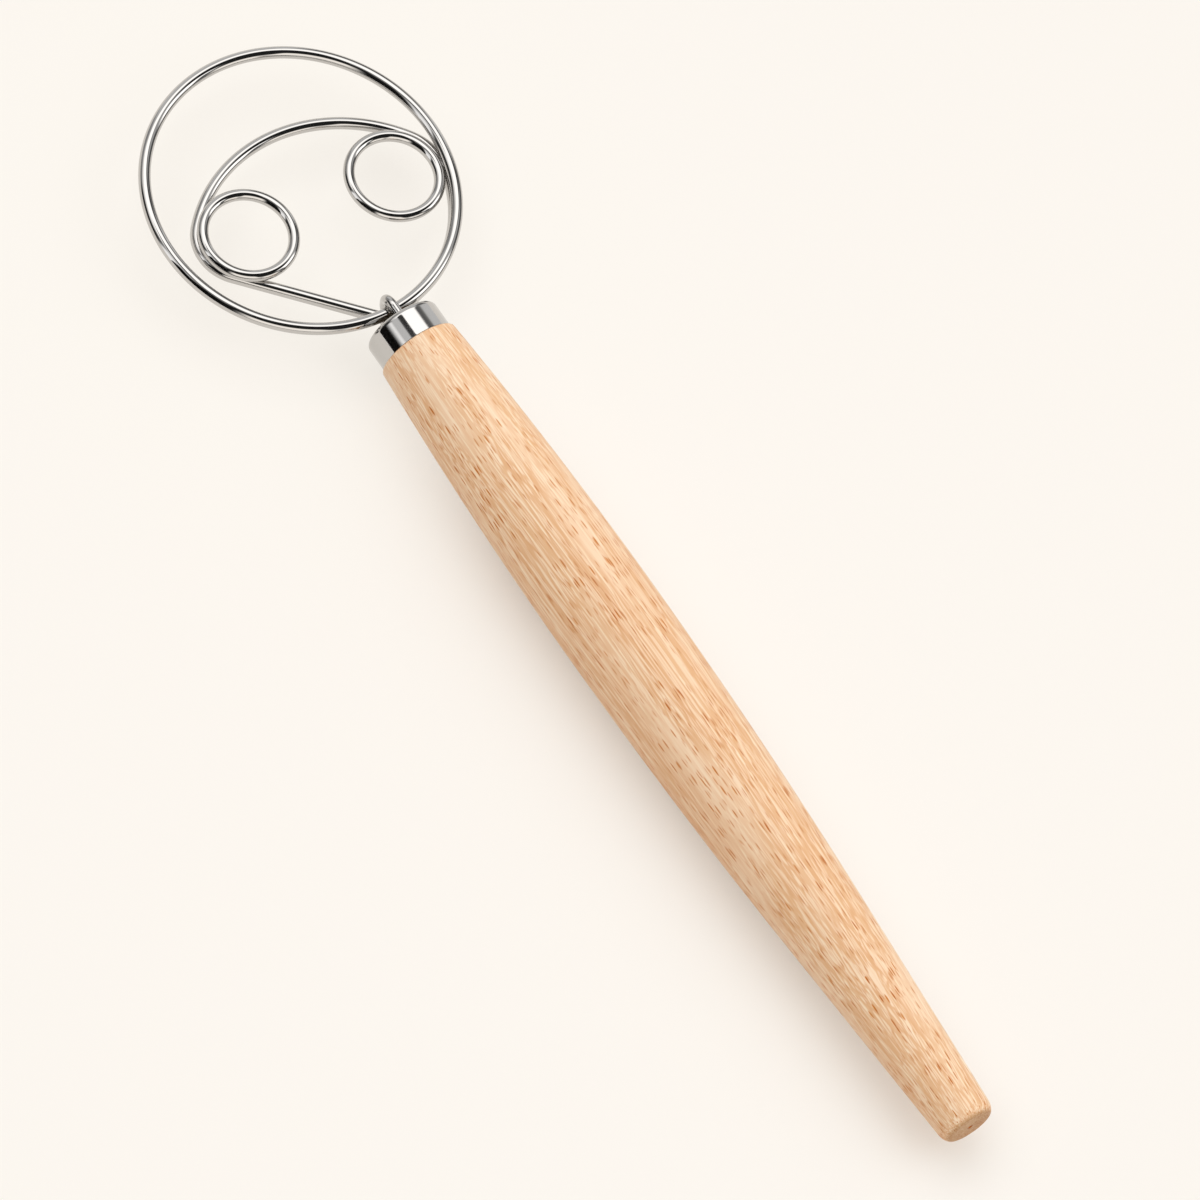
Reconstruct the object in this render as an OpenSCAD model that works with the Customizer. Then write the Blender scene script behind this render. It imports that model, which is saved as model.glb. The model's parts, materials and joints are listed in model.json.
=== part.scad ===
// Dough whisk with a turned wooden handle and a head of bent wire.
// The whisk lies on the belly of its handle. X runs along the handle from the butt to the head,
// the ring of the head lies level, and the ring and the handle end at equal distances from the origin.

/* [Handle] */
// Length of the wood that shows, from the ferrule to the butt
handle_length = 248.5; // [200:0.5:320]
// Diameter at the belly, the thickest place
belly_diameter = 28; // [24:0.5:34]
// Distance of the belly from the ferrule
belly_distance = 87.5; // [60:0.5:110]
// Length of the curve from the belly towards the butt, before the straight taper
rear_curve_length = 97; // [60:1:110]
// Diameter next to the ferrule
shoulder_diameter = 21.8; // [21:0.1:24]
// Rounding of the shoulder's edge
shoulder_rounding = 0.5; // [0.2:0.1:0.5]
// Diameter that the taper would reach at the butt
butt_diameter = 14.8; // [12:0.1:17]
// Length of the butt's rounded edge along the handle
butt_rounding_length = 3.6; // [1:0.1:6]
// Depth of the butt's rounded edge across the handle
butt_rounding_depth = 2.0; // [0.5:0.1:3]
// Diameter of the lathe centre's mark in the butt
centre_mark_diameter = 1.2; // [0.4:0.1:2]

/* [Ferrule] */
// Outer diameter of the cap
ferrule_diameter = 20.4; // [19:0.1:20.8]
// Length of the cap
ferrule_length = 8.5; // [7:0.1:14]
// Thickness of its sheet
ferrule_wall = 0.6; // [0.4:0.05:1]
// Outer radius of the bend round its front edge
ferrule_edge_radius = 1.6; // [1.1:0.1:2.5]

/* [Outer ring] */
// Outer diameter of the ring
ring_diameter = 84; // [78:0.5:92]
// Thickness of the ring's wire and of the bow's wire
wire_diameter = 3.2; // [2.8:0.1:3.5]
// Sideways shift of the hand bent ring from the handle's axis
ring_shift = 1.7; // [0:0.1:3]
// Distance of the ring's centre line from the ferrule's face, at the neck
neck_standoff = 3.4; // [2:0.1:5]

/* [Inner bow] */
// Distance from the ring to the bow's crown, centre line to centre line
crown_inset = 22.7; // [18:0.1:28]
// Radius of the arch
arch_radius = 42.2; // [40:0.1:55]
// Sideways shift of the arch from the handle's axis
arch_shift = -0.4; // [-2:0.1:2]
// Radius of the left shoulder
left_shoulder_radius = 11.6; // [10:0.1:14]
// Distance from the ring to the left shoulder, centre line to centre line
left_shoulder_inset = 8.6; // [5:0.1:12]
// Radius of the right shoulder
right_shoulder_radius = 14.9; // [14:0.1:18]
// Distance from the ring to the right shoulder, centre line to centre line
right_shoulder_inset = 1.6; // [0:0.1:5]
// Direction in which the right shoulder passes into its tail, from straight sideways
right_handover_angle = 15; // [5:1:25]
// Distance of the right tail's curve from the ferrule's face
right_tail_standoff = 4.7; // [4.3:0.1:8]
// Distance from the ferrule's face to the start of the left tail's bend
left_bend_start = 2; // [1:0.1:2.4]
// Distance from the ferrule's face to the start of the right tail's bend
right_bend_start = 0.4; // [-0.5:0.1:1]
// Radius of both bends at the neck, to the wire's centre line
neck_bend_radius = 4; // [3.6:0.1:5]
// Depth of the wire's ends behind the ferrule's face
leg_depth = 34; // [26:1:50]

/* [Eye rings] */
// Outer diameter of an eye ring
eye_diameter = 26.6; // [24:0.1:28]
// Thickness of the eye rings' wire
eye_wire_diameter = 3; // [2.6:0.1:3.2]
// How far the left eye ring reaches out over the left shoulder, centre line to centre line
left_eye_overhang = 1.6; // [0:0.1:3]
// Direction from the left shoulder's centre to the left eye's
left_eye_angle = 213; // [190:1:240]
// How far the right eye ring lies inside the right shoulder, centre line to centre line
right_eye_inset = 2.3; // [1.6:0.1:2.7]
// Direction from the right shoulder's centre to the right eye's
right_eye_angle = -41; // [-60:1:-20]

/* [Neck clasp] */
// Thickness of the clasp's wire
clasp_wire_diameter = 2.6; // [2.2:0.1:3]
// Radius of the clasp's two bends, to the wire's centre line
clasp_bend_radius = 3.7; // [3.3:0.1:3.9]
// Turn of the clasp about the handle's axis
clasp_turn = 10; // [0:1:12]
// Depth of the clasp's legs behind the ferrule's face
clasp_leg_depth = 24; // [15:1:26]

/* [Fits] */
// Gap between wires that are pressed or spot welded together
wire_gap = 0.05; // [0.02:0.01:0.2]
// Thickness of the glue round the ferrule's seat and the resin plug
glue_line = 0.05; // [0.02:0.01:0.15]
// Gap between the bow's two ends in the bore
leg_gap = 0.4; // [0.2:0.1:1]
// Room between the clasp's legs and the bore
bore_clearance = 0.4; // [0.3:0.1:0.8]
// Depth of the bore past the ends of the wires
bore_overrun = 4; // [2:0.5:10]
// Angle of the drill's point
drill_point_angle = 118; // [90:1:140]
// Distance of the resin's surface behind the ferrule's face
resin_setback = 1.5; // [1:0.1:3]

/* [Hidden] */

// Number of sides of a turned piece, of a wire, and of a full turn of a bent wire
turn_sides = 96;
wire_sides = 32;
bend_sides = 128;
// Number of steps along the handle's long curves and round its small edges
curve_steps = 12;
edge_steps = 6;

// Wires: the ring lies on the bow, so their centre lines are a wire and a gap apart
wire_r = wire_diameter / 2;
layer_pitch = wire_diameter + wire_gap;
// Where two lengths of a wire meet, a collar a hair thicker than the wire overlaps both
join_length = 0.3;
join_swell = 0.01;
ring_z = layer_pitch / 2;
bow_z = -layer_pitch / 2;
leg_y = (wire_diameter + leg_gap) / 2;
neck_bend_y = leg_y + neck_bend_radius;

// Outer ring, from the ferrule's face and the handle's axis
ring_r = ring_diameter / 2 - wire_r;
ring_centre = [neck_standoff + ring_r, ring_shift];

// Inner bow: the arch touches both shoulders from outside, and the right shoulder touches its tail
crown_x = ring_centre[0] + ring_r - crown_inset;
arch_centre = [crown_x - arch_radius, arch_shift];
left_shoulder_y = ring_shift + ring_r - left_shoulder_inset - left_shoulder_radius;
right_shoulder_y = ring_shift - ring_r + right_shoulder_inset + right_shoulder_radius;
left_shoulder = inside_arch(left_shoulder_radius, left_shoulder_y);
right_shoulder = inside_arch(right_shoulder_radius, right_shoulder_y);
right_tail_radius = (right_shoulder[0] - right_tail_standoff
    - right_shoulder_radius * sin(right_handover_angle)) / (1 - sin(right_handover_angle));
right_tail_centre = right_shoulder + (right_tail_radius - right_shoulder_radius)
    * [sin(right_handover_angle), cos(right_handover_angle)];

// Eye rings
eye_wire_r = eye_wire_diameter / 2;
eye_r = eye_diameter / 2 - eye_wire_r;
left_eye = left_shoulder
    + polar(left_shoulder_radius - eye_r + left_eye_overhang, left_eye_angle);
right_eye = right_shoulder
    + polar(right_shoulder_radius - eye_r - right_eye_inset, right_eye_angle);

// Neck clasp: its legs pass over and under both layers of wire, and its crown meets the ring.
// The ring's wire crosses the clasp's plane at the height ring_cross_z, where it is as wide as
// two times ring_cross_r.
clasp_wire_r = clasp_wire_diameter / 2;
clasp_r = (layer_pitch / 2 + wire_r + wire_gap + clasp_wire_r) / cos(clasp_turn);
ring_cross_z = ring_z / cos(clasp_turn);
ring_cross_r = wire_r / cos(clasp_turn);
ring_cross_x = ring_centre[0]
    - sqrt(pow(ring_r, 2) - pow(ring_z * tan(clasp_turn) - ring_centre[1], 2));
clasp_bend_z = clasp_r - clasp_bend_radius;
clasp_bend_x = ring_cross_x - sqrt(pow(clasp_bend_radius - clasp_wire_r - ring_cross_r
    - wire_gap, 2) - pow(ring_cross_z - clasp_bend_z, 2));

// Bore, tenon and ferrule
bore_r = clasp_r + clasp_wire_r + bore_clearance;
bore_depth = leg_depth + bore_overrun;
ferrule_r = ferrule_diameter / 2;
tenon_r = ferrule_r - ferrule_wall - glue_line;
tenon_end_x = -ferrule_wall - glue_line;

// Handle's outline: x is measured from the ferrule's face, back to the butt
shoulder_x = -ferrule_length;
butt_x = shoulder_x - handle_length;
belly_x = shoulder_x - belly_distance;
belly_r = belly_diameter / 2;
shoulder_r = shoulder_diameter / 2;
butt_r = butt_diameter / 2;
front_drop = belly_r - shoulder_r;
front_curve_radius = (pow(belly_distance, 2) + pow(front_drop, 2)) / (2 * front_drop);
rear_length = handle_length - belly_distance;
// The rear curve's tangent, where it ends, meets the butt's radius at the butt
rear_curve_radius = rear_curve_length * (rear_length - rear_curve_length / 2)
    / (belly_r - butt_r);
taper_slope = rear_curve_length / rear_curve_radius;
flat_r = edge_radius_at(butt_x + butt_rounding_length) - butt_rounding_depth;

// Place of the ferrule's face, with the origin under the middle of the whole whisk
whisk_length = handle_length + ferrule_length + ring_centre[0] + ring_r + wire_r;
face_x = whisk_length / 2 - ring_centre[0] - ring_r - wire_r;

// Point at a distance and a direction
function polar(r, a) = r * [cos(a), sin(a)];

// Direction from one point to another
function direction(from, to) = atan2(to[1] - from[1], to[0] - from[0]);

// Centre of a shoulder that touches the arch from inside, at the side distance y
function inside_arch(r, y) =
    [arch_centre[0] + sqrt(pow(arch_radius - r, 2) - pow(y - arch_centre[1], 2)), y];

// Radius of the wood at x, before its ends are rounded
function edge_radius_at(x) =
    x > belly_x ? belly_r - front_curve_radius
        + sqrt(pow(front_curve_radius, 2) - pow(x - belly_x, 2))
    : x > belly_x - rear_curve_length ? belly_r - pow(belly_x - x, 2) / (2 * rear_curve_radius)
    : belly_r - pow(rear_curve_length, 2) / (2 * rear_curve_radius)
        - taper_slope * (belly_x - rear_curve_length - x);

// Angle at which a straight run leaves a curve of radius r, to meet the bend at the neck.
// side is 1 on the left and -1 on the right, and bend is the centre of the left hand bend.
function leave_angle(centre, r, bend, side) =
    let (dx = centre[0] - bend[0], dy = bend[1] - side * centre[1])
    atan2(dy, dx) + acos((r + neck_bend_radius) / norm([dx, dy]));

// Height of an eye ring that rests on the bow, from how far it lies inside the bow's line
function rest_height(inset) =
    bow_z + sqrt(pow(wire_r + eye_wire_r + wire_gap, 2) - pow(max(inset, 0), 2));

// Wire bent round a centre in the level plane, from angle a0 to angle a1
module bend(centre, r, a0, a1, section_r = wire_r) {
    translate([centre[0], centre[1], 0])
        rotate([0, 0, a0])
            rotate_extrude(angle = a1 - a0, $fn = bend_sides)
                translate([r, 0])
                    circle(r = section_r, $fn = wire_sides);
}

// Straight wire between two points of the level plane
module run(from, to, section_r = wire_r) {
    translate([from[0], from[1], 0])
        rotate([0, 90, direction(from, to)])
            cylinder(r = section_r, h = norm(to - from), $fn = wire_sides);
}

// Collar over the join of two lengths of wire, at a point, along the wire's direction
module join(point, angle, section_r = wire_r) {
    translate([point[0], point[1], 0])
        rotate([0, 90, angle])
            cylinder(r = section_r + join_swell, h = join_length, center = true,
                $fn = wire_sides);
}

// Run from a curve of the head to the neck, the tight bend there, and the leg in the bore
module tail(centre, r, bend_x, side) {
    a = leave_angle(centre, r, [bend_x, neck_bend_y], side);
    bend_centre = [bend_x, side * neck_bend_y];
    run_start = centre + r * [-cos(a), side * sin(a)];
    run_end = bend_centre + neck_bend_radius * [cos(a), -side * sin(a)];
    leg_start = [bend_x, side * leg_y];
    run(run_start, run_end);
    bend(bend_centre, neck_bend_radius, side > 0 ? -90 : a, side > 0 ? -a : 90);
    run([-leg_depth, side * leg_y], leg_start);
    join(run_start, side * (90 - a));
    join(run_end, side * (90 - a));
    join(leg_start, 0);
}

// Closed ring of wire
module wire_ring(r, section_r) {
    rotate_extrude($fn = bend_sides)
        translate([r, 0])
            circle(r = section_r, $fn = wire_sides);
}

// Profile of a round cap with a rounded front edge, open at the back
module cap_profile(r, length, edge) {
    square([r - edge, length]);
    square([r, length - edge]);
    translate([r - edge, length - edge])
        circle(r = edge, $fn = turn_sides);
}

// Puts a piece built from the ferrule's face and the handle's axis into its place
module place() {
    translate([face_x, -ring_shift, belly_r])
        children();
}

// Turns a piece made along Z so that it lies along X
module along_x() {
    rotate([0, 90, 0])
        children();
}

// Half outline of the wood, from the butt's centre round to the tenon's tip
function handle_outline() = [
    [0, butt_x + centre_mark_diameter / 2],
    [centre_mark_diameter / 2, butt_x],
    for (i = [0 : edge_steps])
        let (a = 90 * i / edge_steps)
        [flat_r + butt_rounding_depth * sin(a), butt_x + butt_rounding_length * (1 - cos(a))],
    for (i = [1 : curve_steps])
        let (x = lerp(butt_x + butt_rounding_length, belly_x, i / curve_steps))
        [edge_radius_at(x), x],
    for (i = [1 : curve_steps - 1])
        let (x = lerp(belly_x, shoulder_x - shoulder_rounding, i / curve_steps))
        [edge_radius_at(x), x],
    for (i = [0 : edge_steps])
        let (a = 90 * i / edge_steps, x = shoulder_x - shoulder_rounding)
        [edge_radius_at(x) - shoulder_rounding * (1 - cos(a)), x + shoulder_rounding * sin(a)],
    [tenon_r, shoulder_x],
    [tenon_r, tenon_end_x],
    [0, tenon_end_x]
];

// Value a part t of the way from a to b
function lerp(a, b, t) = a + (b - a) * t;

module handle() {
    drill_tip = bore_r / tan(drill_point_angle / 2);
    color("burlywood")
        place()
            along_x()
                difference() {
                    rotate_extrude($fn = turn_sides)
                        polygon(handle_outline());
                    translate([0, 0, -bore_depth])
                        cylinder(r = bore_r, h = bore_depth, $fn = turn_sides);
                    translate([0, 0, -bore_depth - drill_tip])
                        cylinder(r1 = 0, r2 = bore_r, h = drill_tip, $fn = turn_sides);
                }
}

module ferrule() {
    inner_edge = ferrule_edge_radius - ferrule_wall;
    color("silver")
        place()
            along_x()
                translate([0, 0, -ferrule_length])
                    rotate_extrude($fn = turn_sides)
                        difference() {
                            cap_profile(ferrule_r, ferrule_length, ferrule_edge_radius);
                            cap_profile(ferrule_r - ferrule_wall, ferrule_length - ferrule_wall,
                                inner_edge);
                            square([bore_r, ferrule_length]);
                        }
}

module outer_ring() {
    color("gainsboro")
        place()
            translate([ring_centre[0], ring_centre[1], ring_z])
                wire_ring(ring_r, wire_r);
}

module inner_bow() {
    left = leave_angle(left_shoulder, left_shoulder_radius, [left_bend_start, neck_bend_y], 1);
    right = leave_angle(right_tail_centre, right_tail_radius,
        [right_bend_start, neck_bend_y], -1);
    left_meet = direction(arch_centre, left_shoulder);
    right_meet = direction(arch_centre, right_shoulder);
    handover = -90 - right_handover_angle;
    color("lightgray")
        place()
            translate([0, 0, bow_z]) {
                bend(right_tail_centre, right_tail_radius, right - 180, handover);
                bend(right_shoulder, right_shoulder_radius, handover, right_meet);
                bend(arch_centre, arch_radius, right_meet, left_meet);
                bend(left_shoulder, left_shoulder_radius, left_meet, 180 - left);
                join(right_shoulder + polar(right_shoulder_radius, handover), handover + 90);
                join(right_shoulder + polar(right_shoulder_radius, right_meet), right_meet + 90);
                join(left_shoulder + polar(left_shoulder_radius, left_meet), left_meet + 90);
                tail(left_shoulder, left_shoulder_radius, left_bend_start, 1);
                tail(right_tail_centre, right_tail_radius, right_bend_start, -1);
            }
}

module left_eye_ring() {
    color("whitesmoke")
        place()
            translate([left_eye[0], left_eye[1], rest_height(-left_eye_overhang)])
                wire_ring(eye_r, eye_wire_r);
}

module right_eye_ring() {
    color("whitesmoke")
        place()
            translate([right_eye[0], right_eye[1], rest_height(right_eye_inset)])
                wire_ring(eye_r, eye_wire_r);
}

// A hairpin that clasps the crossing of the wires, with both legs in the bore
module neck_clasp() {
    crown_x = clasp_bend_x + clasp_bend_radius;
    color("darkgray")
        place()
            rotate([90 - clasp_turn, 0, 0]) {
                run([crown_x, -clasp_bend_z], [crown_x, clasp_bend_z], clasp_wire_r);
                for (side = [0, 1])
                    mirror([0, side, 0]) {
                        run([-clasp_leg_depth, clasp_r], [clasp_bend_x, clasp_r],
                            clasp_wire_r);
                        bend([clasp_bend_x, clasp_bend_z], clasp_bend_radius, 0, 90,
                            clasp_wire_r);
                        join([clasp_bend_x, clasp_r], 0, clasp_wire_r);
                        join([crown_x, clasp_bend_z], 90, clasp_wire_r);
                    }
            }
}

// Cured resin that fills the bore round the wire ends
module resin_plug() {
    color("khaki")
        place()
            difference() {
                along_x()
                    translate([0, 0, -bore_depth + glue_line])
                        cylinder(r = bore_r - glue_line,
                            h = bore_depth - resin_setback - glue_line, $fn = turn_sides);
                for (side = [-1, 1])
                    translate([-leg_depth - glue_line, side * leg_y, bow_z])
                        along_x()
                            cylinder(r = wire_r + glue_line / 2, h = bore_depth,
                                $fn = wire_sides);
                for (side = [-1, 1])
                    rotate([-clasp_turn, 0, 0])
                        translate([-clasp_leg_depth - glue_line, 0, side * clasp_r])
                            along_x()
                                cylinder(r = clasp_wire_r + glue_line / 2, h = bore_depth,
                                    $fn = wire_sides);
            }
}

handle();
ferrule();
outer_ring();
inner_bow();
left_eye_ring();
right_eye_ring();
neck_clasp();
resin_plug();
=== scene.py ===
"""Dough whisk: finished surfaces over its solids, with a studio and a camera.

Lengths in the size fields are millimetres and angles are degrees. A part is drawn from the
ferrule's face and the handle's axis: x runs forward to the head, y to the side of the left eye
ring, z up. ``Placement`` puts it into the frame, in metres.
"""

import json
import logging
import math
from dataclasses import dataclass, field
from enum import Enum
from functools import reduce
from typing import TypeVar

import bpy
import numpy as np
from mathutils import Matrix, Vector

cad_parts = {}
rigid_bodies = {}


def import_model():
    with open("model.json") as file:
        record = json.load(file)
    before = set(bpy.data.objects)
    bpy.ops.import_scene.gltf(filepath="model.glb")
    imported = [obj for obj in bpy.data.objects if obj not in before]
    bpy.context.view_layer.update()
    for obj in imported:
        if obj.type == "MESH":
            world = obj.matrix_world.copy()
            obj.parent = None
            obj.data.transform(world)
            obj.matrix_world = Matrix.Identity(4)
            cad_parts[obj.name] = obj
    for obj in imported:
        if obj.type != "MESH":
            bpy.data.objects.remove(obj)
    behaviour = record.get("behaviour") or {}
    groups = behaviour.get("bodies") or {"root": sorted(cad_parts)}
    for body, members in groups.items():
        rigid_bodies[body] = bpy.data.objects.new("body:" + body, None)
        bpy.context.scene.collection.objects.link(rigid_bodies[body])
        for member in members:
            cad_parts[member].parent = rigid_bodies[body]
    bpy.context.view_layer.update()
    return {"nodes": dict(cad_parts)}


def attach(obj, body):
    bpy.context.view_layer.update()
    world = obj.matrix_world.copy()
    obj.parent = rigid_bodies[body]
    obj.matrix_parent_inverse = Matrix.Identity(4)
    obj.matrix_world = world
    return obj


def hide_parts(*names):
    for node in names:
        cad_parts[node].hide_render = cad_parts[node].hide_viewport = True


Pair = tuple[float, float]
Triple = tuple[float, float, float]
Colour = Triple
Socket = bpy.types.NodeSocket
Value = TypeVar("Value")

LOG = logging.getLogger("dough_whisk")
# Metres in a millimetre
MM = 0.001
# Mesh attribute with the coordinates along and across a wire
STRAND = "strand"
# Radius of the hole for the wires, through the ferrule's mouth and into the handle
HOLE_RADIUS = 6.346
WARM_WHITE = (1.0, 0.985, 0.965)
BEIGE = (1.0, 0.95, 0.88)
BARE_STEEL = (0.56, 0.548, 0.535)
# Inputs of a shader that mirrors nothing
MATT = {"Roughness": 0.9, "Specular IOR Level": 0.0}


class Slot(Enum):
    """Finishes that the record names."""

    WOOD = "handle_wood"
    FERRULE = "ferrule_steel"
    WIRE = "wire_steel"
    RESIN = "resin"


class Side(Enum):
    """Side of the head, as the sign of y."""

    LEFT = 1
    RIGHT = -1

    def pick(self, pair: tuple[Value, Value]) -> Value:
        """Gives this side's value from a pair that holds the left side's first."""
        return pair[0] if self is Side.LEFT else pair[1]


class Follow(Enum):
    """What the polishing lines of a metal follow."""

    WIRE = "the wire"
    AXES = "the object's own axes"


def rgb(red: int, green: int, blue: int) -> Colour:
    """Turns a screen colour into the linear colour that nodes take.

    A value v up to 0.04045 becomes v / 12.92, and a higher one ((v + 0.055) / 1.055) to the
    power of 2.4.

    Args:
        red: Red, from 0 to 255.
        green: Green, from 0 to 255.
        blue: Blue, from 0 to 255.

    Returns:
        The linear colour, from 0 to 1.
    """
    values = np.array([red, green, blue]) / 255
    linear = np.where(values <= 0.04045, values / 12.92, ((values + 0.055) / 1.055) ** 2.4)
    return tuple(float(v) for v in linear)


def add_object(name: str, data: bpy.types.ID) -> bpy.types.Object:
    """Adds an object to the scene.

    Args:
        name: Name of the object.
        data: Its mesh or camera.

    Returns:
        The new object.
    """
    added = bpy.data.objects.new(name, data)
    bpy.context.scene.collection.objects.link(added)
    return added


def add_sheet(name: str, corners: list[Triple], material: bpy.types.Material) -> bpy.types.Object:
    """Adds a flat sheet to the scene.

    Args:
        name: Name of the sheet.
        corners: Its four corners, in order round it, in metres.
        material: Its finish.

    Returns:
        The new object.
    """
    mesh = bpy.data.meshes.new(name)
    mesh.from_pydata(corners, [], [(0, 1, 2, 3)])
    mesh.materials.append(material)
    return add_object(name, mesh)


# Shapes


@dataclass(frozen=True)
class Placement:
    """Where the whisk lies in the frame.

    Attributes:
        face_x: Place of the ferrule's face along the frame's x.
        axis_y: Place of the handle's axis along the frame's y.
        axis_z: Height of the handle's axis.
    """

    face_x: float = 85.6
    axis_y: float = -1.7
    axis_z: float = 14.0

    def origin(self) -> Triple:
        """Gives the middle of the ferrule's face, in mm in the frame."""
        return self.face_x, self.axis_y, self.axis_z

    def to_frame(self, points: np.ndarray) -> np.ndarray:
        """Moves points in mm from the ferrule's face into the frame, in metres."""
        return (points + np.array(self.origin())) * MM


@dataclass(frozen=True)
class Shell:
    """Closed surface made of rings of points.

    Attributes:
        rings: Points as (rows, columns, 3) in mm. Each row is one closed ring.
        ends: Centre points that close the first and the last ring, or None where the last ring
            passes into the first one.
        strand: Coordinates along and across the piece for its finish, as (rows, columns, 3).
    """

    rings: np.ndarray
    ends: tuple[np.ndarray, np.ndarray] | None
    strand: np.ndarray | None = None

    def points(self) -> np.ndarray:
        """Lists every point: the rings row by row, then the two end points."""
        flat = self.rings.reshape(-1, 3)
        return flat if self.ends is None else np.vstack([flat, *self.ends])

    def strand_points(self) -> np.ndarray:
        """Lists the strand coordinates of every point.

        Returns:
            The coordinates in metres. An end point's are the mean of its ring's.
        """
        flat = self.strand.reshape(-1, 3)
        if self.ends is not None:
            flat = np.vstack([flat, self.strand[0].mean(0), self.strand[-1].mean(0)])
        return flat * MM

    def faces(self) -> list[np.ndarray]:
        """Lists the faces.

        A quad joins each pair of neighbours on one ring to the same pair on the next ring. A
        triangle joins each pair on an end ring to that end's centre point.

        Returns:
            One array of quads, and one of triangles where the shell has ends.
        """
        rows, columns = self.rings.shape[:2]
        index = np.arange(rows * columns).reshape(rows, columns)
        turned = np.roll(index, -1, axis=1)
        following = np.roll(index, -1, axis=0)
        following_turned = np.roll(turned, -1, axis=0)
        last = rows if self.ends is None else rows - 1
        corners = (index, turned, following_turned, following)
        quads = np.stack([c[:last].ravel() for c in corners], axis=1)
        if self.ends is None:
            return [quads]
        first_end, last_end = rows * columns, rows * columns + 1
        first_fan = np.stack([turned[0], index[0], np.full(columns, first_end)], axis=1)
        last_fan = np.stack([index[-1], turned[-1], np.full(columns, last_end)], axis=1)
        return [quads, np.vstack([first_fan, last_fan])]

    def outward_faces(self) -> list[np.ndarray]:
        """Lists the faces with their corners in the order that makes the normals face out.

        The sum of dot(a, cross(b, c)) over the triangles a, b, c is six times the volume. Where
        it is negative, the faces look inward, and their corners are reversed.

        Returns:
            The arrays of ``faces``, turned round if needed.
        """
        points = self.points()
        faces = self.faces()
        triangles = [f[:, [0, i, i + 1]] for f in faces for i in range(1, f.shape[1] - 1)]
        a, b, c = (points[np.vstack(triangles)[:, k]] for k in range(3))
        volume = np.einsum("ij,ij->i", a, np.cross(b, c)).sum()
        return faces if volume > 0 else [f[:, ::-1] for f in faces]

    def mesh(self, name: str, placement: Placement, sharp_angle: float) -> bpy.types.Mesh:
        """Builds the mesh, smooth but for its sharp edges.

        Args:
            name: Name of the mesh.
            placement: Puts the points into the frame.
            sharp_angle: Edges that turn more than this stay sharp.

        Returns:
            The mesh, with the strand coordinates as an attribute where the shell has them.
        """
        points = placement.to_frame(self.points())
        faces = self.outward_faces()
        corners = np.concatenate([f.ravel() for f in faces])
        sizes = np.concatenate([np.full(len(f), f.shape[1]) for f in faces])
        starts = np.concatenate([[0], np.cumsum(sizes)[:-1]])
        mesh = bpy.data.meshes.new(name)
        mesh.vertices.add(len(points))
        mesh.vertices.foreach_set("co", points.astype(np.float32).ravel())
        mesh.loops.add(len(corners))
        mesh.loops.foreach_set("vertex_index", corners.astype(np.int32))
        mesh.polygons.add(len(sizes))
        mesh.polygons.foreach_set("loop_start", starts.astype(np.int32))
        mesh.update(calc_edges=True)
        mesh.validate()
        if self.strand is not None:
            attribute = mesh.attributes.new(STRAND, "FLOAT_VECTOR", "POINT")
            attribute.data.foreach_set("vector", self.strand_points().astype(np.float32).ravel())
        mesh.shade_smooth()
        mesh.set_sharp_from_angle(angle=math.radians(sharp_angle))
        return mesh


@dataclass(frozen=True)
class Outline:
    """Half outline of a turned piece.

    Attributes:
        points: Its points, as x along the axis and r across it.
        closed: Whether its last point passes into its first, clear of the axis.
    """

    points: np.ndarray
    closed: bool

    def shell(self, sides: int) -> Shell:
        """Turns the outline round the x axis.

        Each point (x, r) becomes a ring of points (x, r cos b, r sin b) for equal steps of b. An
        open outline begins and ends on the axis, and those two points become the ends.

        Args:
            sides: Points on each ring, a multiple of 4.

        Returns:
            The turned shell.
        """
        body = self.points if self.closed else self.points[1:-1]
        turn = np.linspace(0, 2 * np.pi, sides, endpoint=False)
        x = np.broadcast_to(body[:, :1], (len(body), sides))
        rings = np.stack([x, body[:, 1:] * np.cos(turn), body[:, 1:] * np.sin(turn)], axis=2)
        if self.closed:
            return Shell(rings, None)
        ends = tuple(np.array([[self.points[i, 0], 0, 0]]) for i in (0, -1))
        return Shell(rings, ends)


def line(start: Pair, end: Pair, steps: int) -> np.ndarray:
    """Points on a straight line, from its start up to but without its end."""
    t = np.linspace(0, 1, steps, endpoint=False)[:, None]
    return np.array(start) * (1 - t) + np.array(end) * t


def quarter(centre: Pair, size: Pair, start: float, end: float, steps: int) -> np.ndarray:
    """Points on a quarter of an ellipse, from its start angle up to but without its end angle.

    Args:
        centre: Centre of the ellipse, as x and r.
        size: Half axes of the ellipse along x and r.
        start: Angle of the first point.
        end: Angle that the arc stops short of.
        steps: Number of points.

    Returns:
        The points centre + (size_x cos a, size_r sin a).
    """
    a = np.radians(np.linspace(start, end, steps, endpoint=False))
    return np.stack([centre[0] + size[0] * np.cos(a), centre[1] + size[1] * np.sin(a)], axis=1)


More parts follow.
